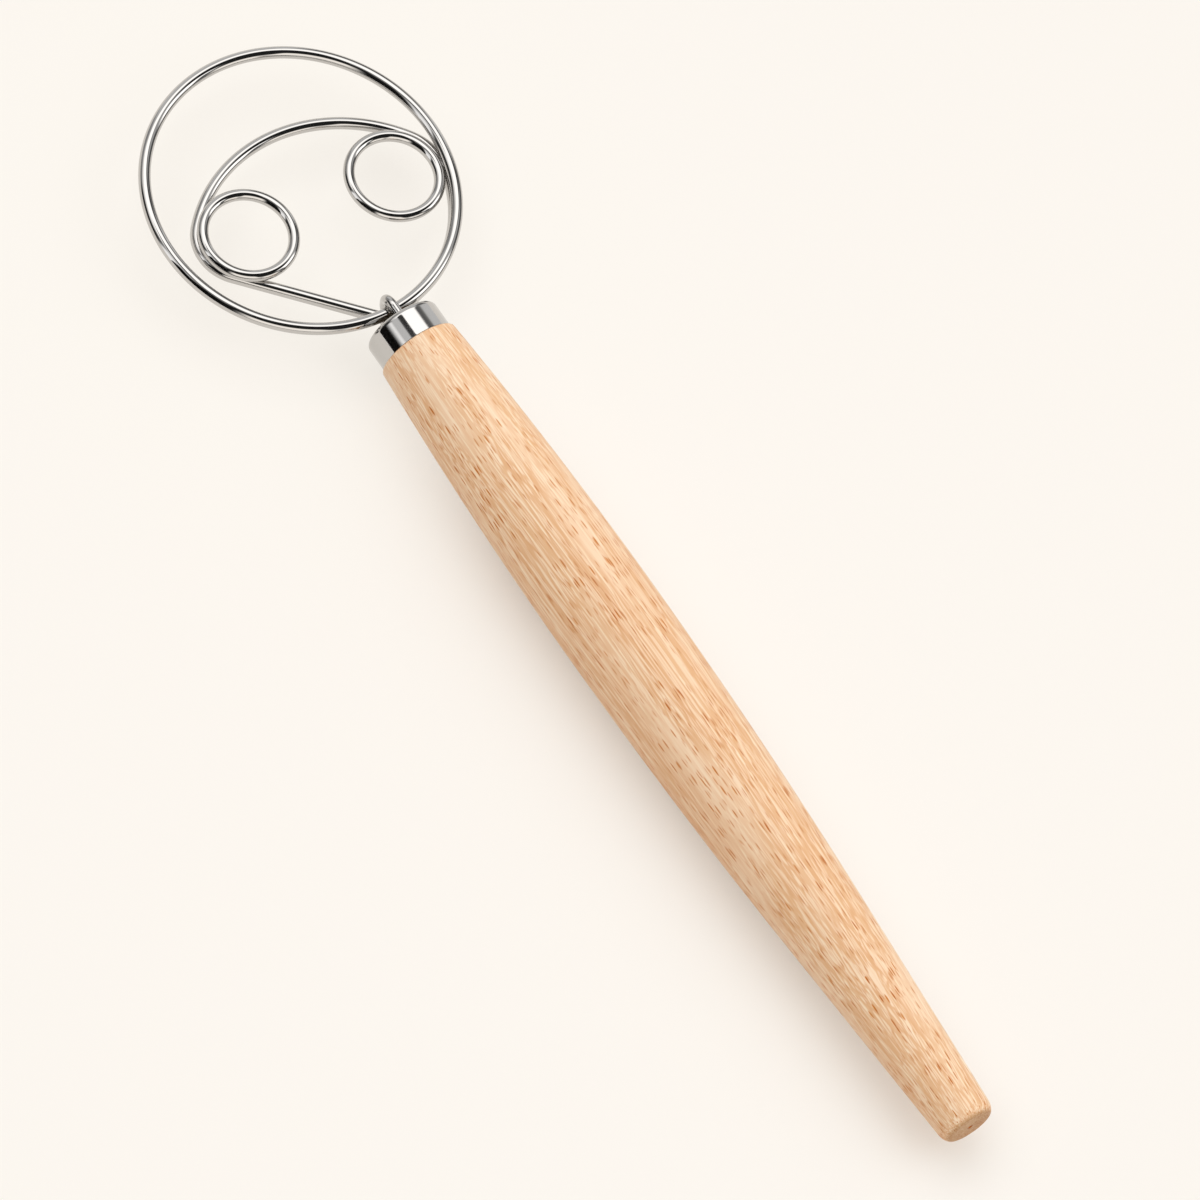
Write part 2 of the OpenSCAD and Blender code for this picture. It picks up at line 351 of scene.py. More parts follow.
@dataclass
class CentreLine:
    """Centre line of a bent wire in a plane, drawn as straight runs and arcs that flow together.

    Attributes:
        step: Longest distance between points along it.
        turn_step: Longest distance between points on an arc, against the arc's radius.
        least_steps: Fewest points on an arc.
        parts: Points and directions drawn so far, one (n, 4) array for each run or arc.
    """

    step: float = 0.7
    turn_step: float = 0.12
    least_steps: int = 6
    parts: list[np.ndarray] = field(default_factory=list)

    def run(self, start: np.ndarray, end: np.ndarray) -> None:
        """Adds a straight run.

        Args:
            start: Its first point.
            end: Point that it stops short of.
        """
        length = float(np.linalg.norm(end - start))
        steps = max(2, math.ceil(length / self.step))
        t = np.linspace(0, 1, steps, endpoint=False)[:, None]
        heading = np.broadcast_to((end - start) / length, (len(t), 2))
        self.parts.append(np.hstack([start + (end - start) * t, heading]))

    def arc(self, centre: np.ndarray, radius: float, start: float, end: float) -> None:
        """Adds an arc from one angle to another round its centre.

        The points are centre + radius (cos a, sin a), and the direction is (-sin a, cos a), or
        the opposite where the arc goes clockwise.

        Args:
            centre: Centre of the arc.
            radius: Its radius.
            start: Angle where it begins.
            end: Angle where it stops. Below the start, the arc goes clockwise.
        """
        length = math.radians(abs(end - start)) * radius
        steps = max(self.least_steps, math.ceil(length / min(self.step, radius * self.turn_step)))
        a = np.radians(np.linspace(start, end, steps, endpoint=False))
        way = 1 if end > start else -1
        points = centre + radius * np.stack([np.cos(a), np.sin(a)], axis=1)
        self.parts.append(np.hstack([points, way * np.stack([-np.sin(a), np.cos(a)], axis=1)]))

    def finish(self, end: np.ndarray) -> np.ndarray:
        """Gives the whole line, ended at a point in the direction of its last run."""
        last = np.hstack([end, self.parts[-1][-1, 2:]])
        return np.vstack([*self.parts, last])


@dataclass(frozen=True)
class Wire:
    """Round wire that follows a centre line.

    Attributes:
        line: Points and directions of the centre line in its plane, as (n, 4).
        radius: Radius of the wire.
        height: Distance of the plane from the handle's axis.
        turn: Turn of the plane about the handle's axis.
        closed: Whether the line's end passes into its start.
        sides: Points round the wire.
    """

    line: np.ndarray
    radius: float
    height: float = 0.0
    turn: float = 0.0
    closed: bool = False
    sides: int = 40

    def shell(self) -> Shell:
        """Sweeps the wire's circle along its centre line.

        The plane has the axes u = x, v and the normal n. At a point P with the direction T, the
        side is S = T turned by -90 degrees in the plane, and the ring is P + radius (S cos b +
        n sin b) for equal steps of b. The strand coordinates are the distance along the line
        and the two parts of the ring's offset.

        Returns:
            The swept shell.
        """
        turn = math.radians(self.turn)
        u = np.array([1.0, 0.0, 0.0])
        v = np.array([0.0, math.cos(turn), math.sin(turn)])
        n = np.cross(u, v)
        centre = self.line[:, :1] * u + self.line[:, 1:2] * v + self.height * n
        side = self.line[:, 3:4] * u - self.line[:, 2:3] * v
        b = np.linspace(0, 2 * np.pi, self.sides, endpoint=False)
        cos, sin = (self.radius * f(b)[None, :, None] for f in (np.cos, np.sin))
        rings = centre[:, None, :] + cos * side[:, None, :] + sin * n
        steps = np.linalg.norm(np.diff(self.line[:, :2], axis=0), axis=1)
        along = np.concatenate([[0], np.cumsum(steps)])
        strand = np.empty_like(rings)
        strand[..., 0] = along[:, None]
        strand[..., 1] = cos[..., 0]
        strand[..., 2] = sin[..., 0]
        ends = None if self.closed else (centre[:1], centre[-1:])
        return Shell(rings, ends, strand)


def circle_line(centre: np.ndarray, radius: float, start: float, points: int) -> np.ndarray:
    """Centre line of a closed ring.

    Args:
        centre: Centre of the ring.
        radius: Radius to the wire's centre line.
        start: Angle where its first point lies.
        points: Number of points.

    Returns:
        Points centre + radius (cos a, sin a) and directions (-sin a, cos a), as (points, 4).
    """
    a = math.radians(start) + np.linspace(0, 2 * np.pi, points, endpoint=False)
    cos, sin = np.cos(a)[:, None], np.sin(a)[:, None]
    return np.hstack([centre + radius * np.hstack([cos, sin]), -sin, cos])


def polar(radius: float, angle: float) -> np.ndarray:
    """Point at a distance and an angle from the origin."""
    a = math.radians(angle)
    return radius * np.array([math.cos(a), math.sin(a)])


def angle_of(vector: np.ndarray) -> float:
    """Angle of a vector in its plane."""
    return math.degrees(math.atan2(vector[1], vector[0]))


# Node trees


class Graph:
    """Adds nodes to one tree and joins them.

    Attributes:
        tree: The node tree.
    """

    def __init__(self, tree: bpy.types.NodeTree) -> None:
        """Starts on a tree, which it empties."""
        self.tree = tree
        tree.nodes.clear()

    def add(self, kind: str, inputs: dict | None = None, **settings: object) -> bpy.types.Node:
        """Adds a node.

        Args:
            kind: Name of the node's type, without its ShaderNode prefix.
            inputs: Value or socket for each input, by name or number.
            settings: Values of the node's own properties.

        Returns:
            The new node.
        """
        node = self.tree.nodes.new("ShaderNode" + kind)
        for key, value in settings.items():
            setattr(node, key, value)
        for key, value in (inputs or {}).items():
            self.put(value, node.inputs[key])
        return node

    def put(self, value: object, socket: Socket) -> None:
        """Links a socket into another one, or sets a plain value on it.

        Args:
            value: The socket to link from, or the value. A colour may leave out its alpha.
            socket: The input that takes it.
        """
        if isinstance(value, bpy.types.NodeSocket):
            self.tree.links.new(value, socket)
        elif socket.type == "RGBA" and len(value) == 3:
            socket.default_value = (*value, 1)
        else:
            socket.default_value = value

    def math(self, operation: str, *values: object, clamp: bool = False) -> Socket:
        """Adds a Math node and gives its result."""
        inputs = dict(enumerate(values))
        return self.add("Math", inputs, operation=operation, use_clamp=clamp).outputs[0]

    def vector(self, operation: str, *values: object) -> Socket:
        """Adds a Vector Math node and gives its vector."""
        return self.add("VectorMath", dict(enumerate(values)), operation=operation).outputs[0]

    def measure(self, operation: str, *values: object) -> Socket:
        """Adds a Vector Math node that gives a plain number, such as a length."""
        node = self.add("VectorMath", dict(enumerate(values)), operation=operation)
        return node.outputs["Value"]

    def in_mm(self, place: Socket) -> Socket:
        """Turns a place in metres into one in mm."""
        inputs = {0: place, "Scale": 1 / MM}
        return self.add("VectorMath", inputs, operation="SCALE").outputs[0]

    def ramp(self, value: Socket, low: float, high: float, to: Pair = (0.0, 1.0)) -> Socket:
        """Adds a smooth step.

        Args:
            value: The number to map.
            low: Number that gives the first result.
            high: Number that gives the second result.
            to: The two results.

        Returns:
            The result, which stays between the two.
        """
        inputs = {"Value": value, "From Min": low, "From Max": high, "To Min": to[0],
                  "To Max": to[1]}
        return self.add("MapRange", inputs, interpolation_type="SMOOTHSTEP").outputs[0]

    def blend(self, factor: object, first: object, second: object, way: str = "MIX") -> Socket:
        """Adds a mix of two colours.

        A Mix node takes its factor in socket 0 and two colours in sockets 6 and 7, and gives
        the mixed colour in socket 2.

        Args:
            factor: Share of the second colour, from 0 to 1.
            first: The first colour.
            second: The second colour.
            way: How the node mixes them.

        Returns:
            The mixed colour.
        """
        node = self.add("Mix", data_type="RGBA", blend_type=way)
        for value, place in ((factor, 0), (first, 6), (second, 7)):
            self.put(value, node.inputs[place])
        return node.outputs[2]

    def tint(self, mask: Socket, under: Socket, tint: Colour) -> Socket:
        """Multiplies a colour by a tint where a mask is 1, and leaves it where the mask is 0."""
        return self.blend(mask, under, self.blend(1.0, under, tint, "MULTIPLY"))

    def noise(self, place: Socket, scale: float, detail: float, roughness: float = 0.5) -> Socket:
        """Adds a noise and gives its value."""
        inputs = {"Vector": place, "Scale": scale, "Detail": detail, "Roughness": roughness}
        return self.add("TexNoise", inputs, noise_dimensions="3D").outputs["Fac"]


class GroupBuilder(Graph):
    """Makes a shared node group with named inputs and outputs.

    Attributes:
        given: Node that holds the group's inputs.
        result: Node that takes the group's outputs.
    """

    def __init__(self, name: str, inputs: dict[str, str], outputs: dict[str, str]) -> None:
        """Opens the group.

        Args:
            name: Name of the group.
            inputs: Socket type for each input name.
            outputs: Socket type for each output name.
        """
        tree = bpy.data.node_groups.new(name, "ShaderNodeTree")
        for way, sockets in (("INPUT", inputs), ("OUTPUT", outputs)):
            for label, kind in sockets.items():
                tree.interface.new_socket(name=label, in_out=way, socket_type=f"NodeSocket{kind}")
        super().__init__(tree)
        self.given = tree.nodes.new("NodeGroupInput")
        self.result = tree.nodes.new("NodeGroupOutput")

    def take(self, name: str) -> Socket:
        """Gives one of the group's inputs, to use inside it."""
        return self.given.outputs[name]

    def send(self, name: str, value: Socket) -> None:
        """Sends a value out of the group."""
        self.put(value, self.result.inputs[name])


class MaterialBuilder(Graph):
    """Makes a material.

    Attributes:
        material: The material.
    """

    def __init__(self, name: str) -> None:
        """Opens a new material with an empty node tree.

        Args:
            name: Name of the material.
        """
        self.material = bpy.data.materials.new(name)
        self.material.use_nodes = True
        super().__init__(self.material.node_tree)

    def bump(self, height: Socket, depth: float) -> Socket:
        """Gives the normal of a surface whose height of 1 stands for a depth in mm."""
        inputs = {"Strength": 1.0, "Distance": depth * MM, "Height": height}
        return self.add("Bump", inputs).outputs[0]

    def finish(self, shader: bpy.types.Node) -> bpy.types.Material:
        """Puts a shader on the surface and gives the finished material."""
        self.add("OutputMaterial", {"Surface": shader.outputs[0]})
        return self.material


# Finishes


@dataclass(frozen=True)
class Fineness:
    """How fine a pattern in the wood is.

    Attributes:
        along: Changes per mm along the grain.
        across: Changes per mm across it.
    """

    along: float
    across: float

    def scaled(self, g: Graph, place: Socket) -> Socket:
        """Scales a place in the wood to the pattern's own size."""
        return g.vector("MULTIPLY", place, (self.along, self.across, self.across))


@dataclass(frozen=True)
class Streaks(Fineness):
    """Soft pattern in the wood, long along its grain.

    Attributes:
        detail: Number of finer layers in it.
        roughness: Strength of each finer layer against the one before.
    """

    detail: float = 1.0
    roughness: float = 0.5

    def value(self, g: Graph, place: Socket) -> Socket:
        """Adds the pattern and gives its value."""
        return g.noise(self.scaled(g, place), 1.0, self.detail, self.roughness)


@dataclass(frozen=True)
class Hairlines:
    """Thin lines in the wood, where a long soft pattern crosses a level.

    Attributes:
        pattern: The pattern.
        level: Its value that draws the lines.
        width: Difference from that value at which a line has faded out.
        core: Share of the width over which a line is full.
        patches: Second pattern, which makes the lines faint in places.
        patch_range: Its values at which the lines have gone and at which they are full.
    """

    pattern: Streaks
    level: float
    width: float
    core: float = 0.3
    patches: Streaks = Streaks(0.02, 0.14)
    patch_range: Pair = (0.1, 0.55)

    def mask(self, g: Graph, place: Socket) -> Socket:
        """Adds the lines.

        Args:
            g: The group.
            place: Place in the wood.

        Returns:
            The mask of the lines.
        """
        away = g.math("ABSOLUTE", g.math("SUBTRACT", self.pattern.value(g, place), self.level))
        lines = g.ramp(away, self.width, self.width * self.core)
        return g.math("MULTIPLY", lines, g.ramp(self.patches.value(g, place), *self.patch_range))


@dataclass(frozen=True)
class Flecks:
    """Short brown marks in the wood, each a long thin lens along the grain.

    Attributes:
        density: Number of flecks along the grain and across it.
        size: Half size of a fleck against the distance to the next one.
        left_out: Share of the flecks that is left out.
        strength: Darkness of the flecks.
        core: Share of a fleck's size over which it is full.
        fade: Share of the flecks, past those left out, that are fainter than the rest.
        crowds: Pattern that says where more or fewer of them are left out.
        crowding: How strongly it does.
    """

    density: Fineness
    size: float
    left_out: float
    strength: float
    core: float = 0.7
    fade: float = 0.35
    crowds: Streaks = Streaks(0.03, 0.16)
    crowding: float = 1.2

    def mask(self, g: Graph, place: Socket) -> Socket:
        """Adds the flecks.

        Args:
            g: The group.
            place: Place in the wood.

        Returns:
            The mask of the flecks.
        """
        inputs = {"Vector": self.density.scaled(g, place), "Scale": 1.0}
        cells = g.add("TexVoronoi", inputs, voronoi_dimensions="3D", feature="F1").outputs
        lens = g.ramp(cells["Distance"], self.size, self.size * self.core)
        crowd = g.math("SUBTRACT", self.crowds.value(g, place), 0.5)
        own = g.add("SeparateColor", {0: cells["Color"]}).outputs["Red"]
        chance = g.math("MULTIPLY_ADD", crowd, self.crowding, own)
        shown = g.math("MULTIPLY", lens, g.ramp(chance, self.left_out, self.left_out + self.fade))
        return g.math("MULTIPLY", shown, self.strength)


@dataclass(frozen=True)
class Beech:
    """Fine sanded beech with soft growth rings, thin hairlines and short brown flecks.

    Attributes:
        pale: Colour of the early wood.
        warm: Colour of the late wood.
        hairline: Tint of the hairlines over the wood.
        fleck: Tint of the flecks over the wood.
        end: Tint of the end grain over the wood.
        end_range: How far a surface looks along the handle where the end grain begins to show
            and where it shows in full.
        ring_spacing: Distance between growth rings.
        late_rise: Parts of a ring's width between which its late wood grows in.
        late_fall: Parts of a ring's width between which its late wood stops, from the outside.
        pith: Distance of the tree's middle from the handle's axis.
        lean: Turn of the growth rings about the handle's axis.
        wander: Slow pattern that moves the grain sideways.
        wander_reach: Width over which it moves the grain.
        fine: Pattern of the fine fibres.
        broad: Pattern of the broad fibres.
        broad_share: Share of the broad fibres.
        fibre_range: Values of both together at which a fibre is 0 and 1.
        tone: Slow pattern of the wood's tone.
        tone_range: Its values at which the tone is 0 and 1.
        hairlines: Layers of hairlines.
        flecks: Layers of flecks.
        fibre_share: Part that the fibres have in the warm colour.
        late_share: Part that the late wood has in it.
        tone_share: Part that the tone has in it.
        mark_radius: Radius of the lathe centre's mark.
        mark_core: Share of that radius over which the mark is full.
        roughness: Lowest and highest roughness.
        relief: Depth that a height of 1 stands for.
        fibre_height: Height of the fibres.
        dark_depth: Depth of the flecks and the mark.
        ior: Index of refraction of the oiled surface.
        sheen: Strength of its mirror image.
    """

    pale: Colour = rgb(255, 233, 207)
    warm: Colour = rgb(238, 190, 145)
    hairline: Colour = (0.85, 0.68, 0.52)
    fleck: Colour = (0.68, 0.30, 0.03)
    end: Colour = (0.64, 0.53, 0.39)
    end_range: Pair = (0.4, 0.98)
    ring_spacing: float = 3.1
    late_rise: Pair = (0.2, 0.9)
    late_fall: Pair = (1.0, 0.94)
    pith: float = 46.0
    lean: float = 118.0
    wander: Streaks = Streaks(0.008, 0.04, detail=2.0)
    wander_reach: float = 5.0
    fine: Streaks = Streaks(0.06, 4.6, detail=2.0, roughness=0.7)
    broad: Streaks = Streaks(0.03, 1.35, detail=2.0)
    broad_share: float = 0.6
    fibre_range: Pair = (0.36, 0.64)
    tone: Streaks = Streaks(0.006, 0.09, detail=2.0)
    tone_range: Pair = (0.35, 0.65)
    hairlines: tuple[Hairlines, ...] = (
        Hairlines(Streaks(0.016, 0.75), level=0.5, width=0.045),
        Hairlines(Streaks(0.022, 1.2), level=0.47, width=0.06),
        Hairlines(Streaks(0.03, 1.8), level=0.55, width=0.08),
    )
    flecks: tuple[Flecks, ...] = (
        Flecks(Fineness(0.2, 2.2), size=0.35, left_out=0.42, strength=0.7),
        Flecks(Fineness(0.15, 1.5), size=0.3, left_out=0.52, strength=1.0),
    )
    fibre_share: float = 0.28
    late_share: float = 0.12
    tone_share: float = 0.24
    mark_radius: float = 1.0
    mark_core: float = 0.7
    roughness: Pair = (0.42, 0.56)
    relief: float = 0.03
    fibre_height: float = 0.35
    dark_depth: float = 0.5
    ior: float = 1.47
    sheen: float = 0.3

    def grain(self) -> bpy.types.NodeTree:
        """Builds the group that turns a place in the wood into its pattern.

        Returns:
            The group, which takes a place in mm and gives masks from 0 to 1: Late Wood, Fibre,
            Hairline, Fleck, and Tone, a slow drift of the colour.
        """
        names = ("Late Wood", "Fibre", "Hairline", "Fleck", "Tone")
        g = GroupBuilder("Wood grain", {"Place": "Vector"}, dict.fromkeys(names, "Float"))
        place = g.take("Place")
        moved = self._wandering(g, place)
        g.send("Late Wood", self._late_wood(g, moved))
        fine = g.math("MULTIPLY", self.fine.value(g, moved), 1 - self.broad_share)
        fibre = g.math("MULTIPLY_ADD", self.broad.value(g, moved), self.broad_share, fine)
        g.send("Fibre", g.ramp(fibre, *self.fibre_range))
        for name, layers in (("Hairline", self.hairlines), ("Fleck", self.flecks)):
            masks = [layer.mask(g, moved) for layer in layers]
            g.send(name, reduce(lambda a, b: g.math("MAXIMUM", a, b), masks))
        g.send("Tone", g.ramp(self.tone.value(g, place), *self.tone_range))
        return g.tree

    def _wandering(self, g: Graph, place: Socket) -> Socket:
        """Moves a place sideways by a slow pattern, so that the grain isn't dead straight.

        Args:
            g: The group.
            place: Place in the wood.

        Returns:
            The moved place.
        """
        inputs = {"Vector": self.wander.scaled(g, place), "Scale": 1.0,
                  "Detail": self.wander.detail}
        pattern = g.add("TexNoise", inputs).outputs["Color"]
        shift = g.vector("SUBTRACT", pattern, (0.5, 0.5, 0.5))
        return g.vector("MULTIPLY_ADD", shift, (0.0, self.wander_reach, self.wander_reach), place)

    def _late_wood(self, g: Graph, place: Socket) -> Socket:
        """Adds the growth rings, which are circles about the tree's middle.

        A place lies in the part frac(sqrt(y^2 + (z + pith)^2) / ring_spacing) of its ring.

        Args:
            g: The group.
            place: Place in the wood.

        Returns:
            The mask of the late wood.
        """
        parts = g.add("SeparateXYZ", {0: place}).outputs
        sideways = g.math("POWER", parts["Y"], 2.0)
        outwards = g.math("POWER", g.math("ADD", parts["Z"], self.pith), 2.0)
        distance = g.math("SQRT", g.math("ADD", sideways, outwards))
        rings = g.math("FRACT", g.math("DIVIDE", distance, self.ring_spacing))
        return g.math("MULTIPLY", g.ramp(rings, *self.late_rise), g.ramp(rings, *self.late_fall))

    def material(self, placement: Placement) -> bpy.types.Material:
        """Builds the finish.

        Args:
            placement: Gives the handle's axis, about which the growth rings lean.

        Returns:
            The material.
        """
        g = MaterialBuilder("beech")
        coords = g.add("TexCoord").outputs
        centred = g.vector("SUBTRACT", g.in_mm(coords["Object"]), placement.origin())
        turn = {"Vector": centred, "Angle": math.radians(self.lean)}
        leant = g.add("VectorRotate", turn, rotation_type="X_AXIS").outputs[0]
        masks = g.add("Group", {"Place": leant}, node_tree=self.grain()).outputs
        fibre = masks["Fibre"]

        warmth = g.math("MULTIPLY", masks["Late Wood"], self.late_share)
        warmth = g.math("MULTIPLY_ADD", fibre, self.fibre_share, warmth, clamp=True)
        warmth = g.math("MULTIPLY_ADD", masks["Tone"], self.tone_share, warmth, clamp=True)
        colour = g.blend(warmth, self.pale, self.warm)
        facing = g.math("ABSOLUTE", g.add("SeparateXYZ", {0: coords["Normal"]}).outputs["X"])
        colour = g.tint(g.ramp(facing, *self.end_range), colour, self.end)
        colour = g.tint(masks["Hairline"], colour, self.hairline)
        off_axis = g.measure("LENGTH", g.vector("MULTIPLY", centred, (0.0, 1.0, 1.0)))
        mark = g.ramp(off_axis, self.mark_radius, self.mark_radius * self.mark_core)
        dark = g.math("MAXIMUM", mark, masks["Fleck"])
        colour = g.tint(dark, colour, self.fleck)

        raised = g.math("MULTIPLY", fibre, self.fibre_height)
        height = g.math("SUBTRACT", raised, g.math("MULTIPLY", dark, self.dark_depth))
        shader = g.add("BsdfPrincipled", {
            "Base Color": colour, "Roughness": g.ramp(fibre, 0.0, 1.0, self.roughness),
            "Normal": g.bump(height, self.relief), "IOR": self.ior,
            "Specular IOR Level": self.sheen,
        })
        return g.finish(shader)


@dataclass(frozen=True)
class Steel:
    """Polished stainless steel.

    Attributes:
        name: Name of the finish.
        roughness: Lowest and highest roughness.
        lines: Fineness of the polishing lines along each axis, per mm.
        relief: Depth of the polishing lines.
        follow: What the lines follow.
        colour: Its colour seen straight on.
    """

    name: str
    roughness: Pair
    lines: Triple
    relief: float
    follow: Follow
    colour: Colour = BARE_STEEL

    @staticmethod
    def polish() -> bpy.types.NodeTree:
        """Gives the shared group of polishing lines, clouds of haze and smudges.

        Returns:
            The group, which takes a place in mm and the lines' fineness, and gives Haze from 0
            to 1 and Height.
        """
        name = "Metal polish"
        if name in bpy.data.node_groups:
            return bpy.data.node_groups[name]
        cloud_fineness, smudge_fineness = 0.22, 1.3
        line_share, cloud_share, smudge_share = 0.35, 0.4, 0.25
        clean, hazy = 0.32, 0.68
        inputs = {"Place": "Vector", "Fineness": "Vector"}
        g = GroupBuilder(name, inputs, {"Haze": "Float", "Height": "Float"})
        place = g.take("Place")
        along = g.vector("MULTIPLY", place, g.take("Fineness"))
        lines = g.noise(along, scale=1.0, detail=3.0, roughness=0.65)
        cloud = g.noise(place, cloud_fineness, detail=3.0)
        smudge = g.noise(place, smudge_fineness, detail=2.0)
        haze = g.math("MULTIPLY_ADD", lines, line_share, g.math("MULTIPLY", cloud, cloud_share))
        haze = g.math("MULTIPLY_ADD", smudge, smudge_share, haze)
        g.send("Haze", g.ramp(haze, clean, hazy))
        g.send("Height", lines)
        return g.tree

    def material(self) -> bpy.types.Material:
        """Builds the finish.

        Returns:
            The material.
        """
        g = MaterialBuilder(self.name)
        if self.follow is Follow.WIRE:
            place = g.add("Attribute", attribute_name=STRAND).outputs["Vector"]
        else:
            place = g.add("TexCoord").outputs["Object"]
        inputs = {"Place": g.in_mm(place), "Fineness": self.lines}
        polish = g.add("Group", inputs, node_tree=self.polish()).outputs
        shader = g.add("BsdfPrincipled", {
            "Base Color": self.colour, "Metallic": 1.0,
            "Roughness": g.ramp(polish["Haze"], 0.0, 1.0, self.roughness),
            "Normal": g.bump(polish["Height"], self.relief),
        })
        return g.finish(shader)


@dataclass(frozen=True)
class Resin:
    """Cured resin with a slightly uneven, glossy surface and a few small bubbles.

    Attributes:
        clear: Colour where it is clearer, darkened to smoky grey as painted shade.
        cloudy: Colour where it is cloudier, darkened the same way as painted shade.
        cloud_fineness: Clouds per mm.
        cloud_range: Values of the clouds' pattern at which it is clear and cloudy.
        rough_range: Values of that pattern at which it is smoothest and roughest.
        bubble_fineness: Bubbles per mm.
        bubble_size: Distances from a bubble's middle where it has ended and where it is full.
        roughness: Lowest and highest roughness.
        relief: Depth that a height of 1 stands for.
        cloud_height: Height of the clouds.
        bubble_height: Height of the bubbles.
    """

    # Painted shade: the resin's own colours are darkened to smoky grey for the shade under the neck's
    # wires.
    clear: Colour = rgb(84, 76, 64)
    cloudy: Colour = rgb(116, 106, 90)
    cloud_fineness: float = 0.5
    cloud_range: Pair = (0.35, 0.65)
    rough_range: Pair = (0.3, 0.7)
    bubble_fineness: float = 0.9
    bubble_size: Pair = (0.22, 0.1)
    roughness: Pair = (0.12, 0.3)
    relief: float = 0.12
    cloud_height: float = 0.6
    bubble_height: float = 0.4

    def material(self) -> bpy.types.Material:
        """Builds the finish.

        Returns:
            The material.
        """
        g = MaterialBuilder("resin")
        place = g.in_mm(g.add("TexCoord").outputs["Object"])
        cloud = g.noise(place, self.cloud_fineness, detail=3.0)
        inputs = {"Vector": place, "Scale": self.bubble_fineness}
        distance = g.add("TexVoronoi", inputs, feature="F1").outputs["Distance"]
        bubble = g.math("MULTIPLY", g.ramp(distance, *self.bubble_size), self.bubble_height)
        height = g.math("MULTIPLY_ADD", cloud, self.cloud_height, bubble)
        colour = g.blend(g.ramp(cloud, *self.cloud_range), self.clear, self.cloudy)
        shader = g.add("BsdfPrincipled", {
            "Base Color": colour,
            "Roughness": g.ramp(cloud, *self.rough_range, self.roughness),
            "Normal": g.bump(height, self.relief),
        })
        return g.finish(shader)


# Parts of the whisk


@dataclass(frozen=True)
class Part:
    """One piece of the whisk.

    Attributes:
        placement: Puts the piece into the frame.
    """

    placement: Placement

    def show(
        self, shell: Shell, node: str, finish: Slot, material: bpy.types.Material,
        sharp_angle: float = 40.0,
    ) -> bpy.types.Object:
        """Adds a shell to the scene in place of its solid.

        Args:
            shell: The piece's surface.
            node: Solid that it stands for.
            finish: Slot that its finish belongs to. Not used.
            material: The finish.
            sharp_angle: Edges that turn more than this stay sharp.

        Returns:
            The new object.
        """
        name = f"{node}_finished"
        mesh = shell.mesh(name, self.placement, sharp_angle)
        mesh.materials.append(material)
        piece = add_object(name, mesh)
        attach(piece, "root")
        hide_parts(node)
        LOG.info("%s: %d faces", name, len(mesh.polygons))
        return piece


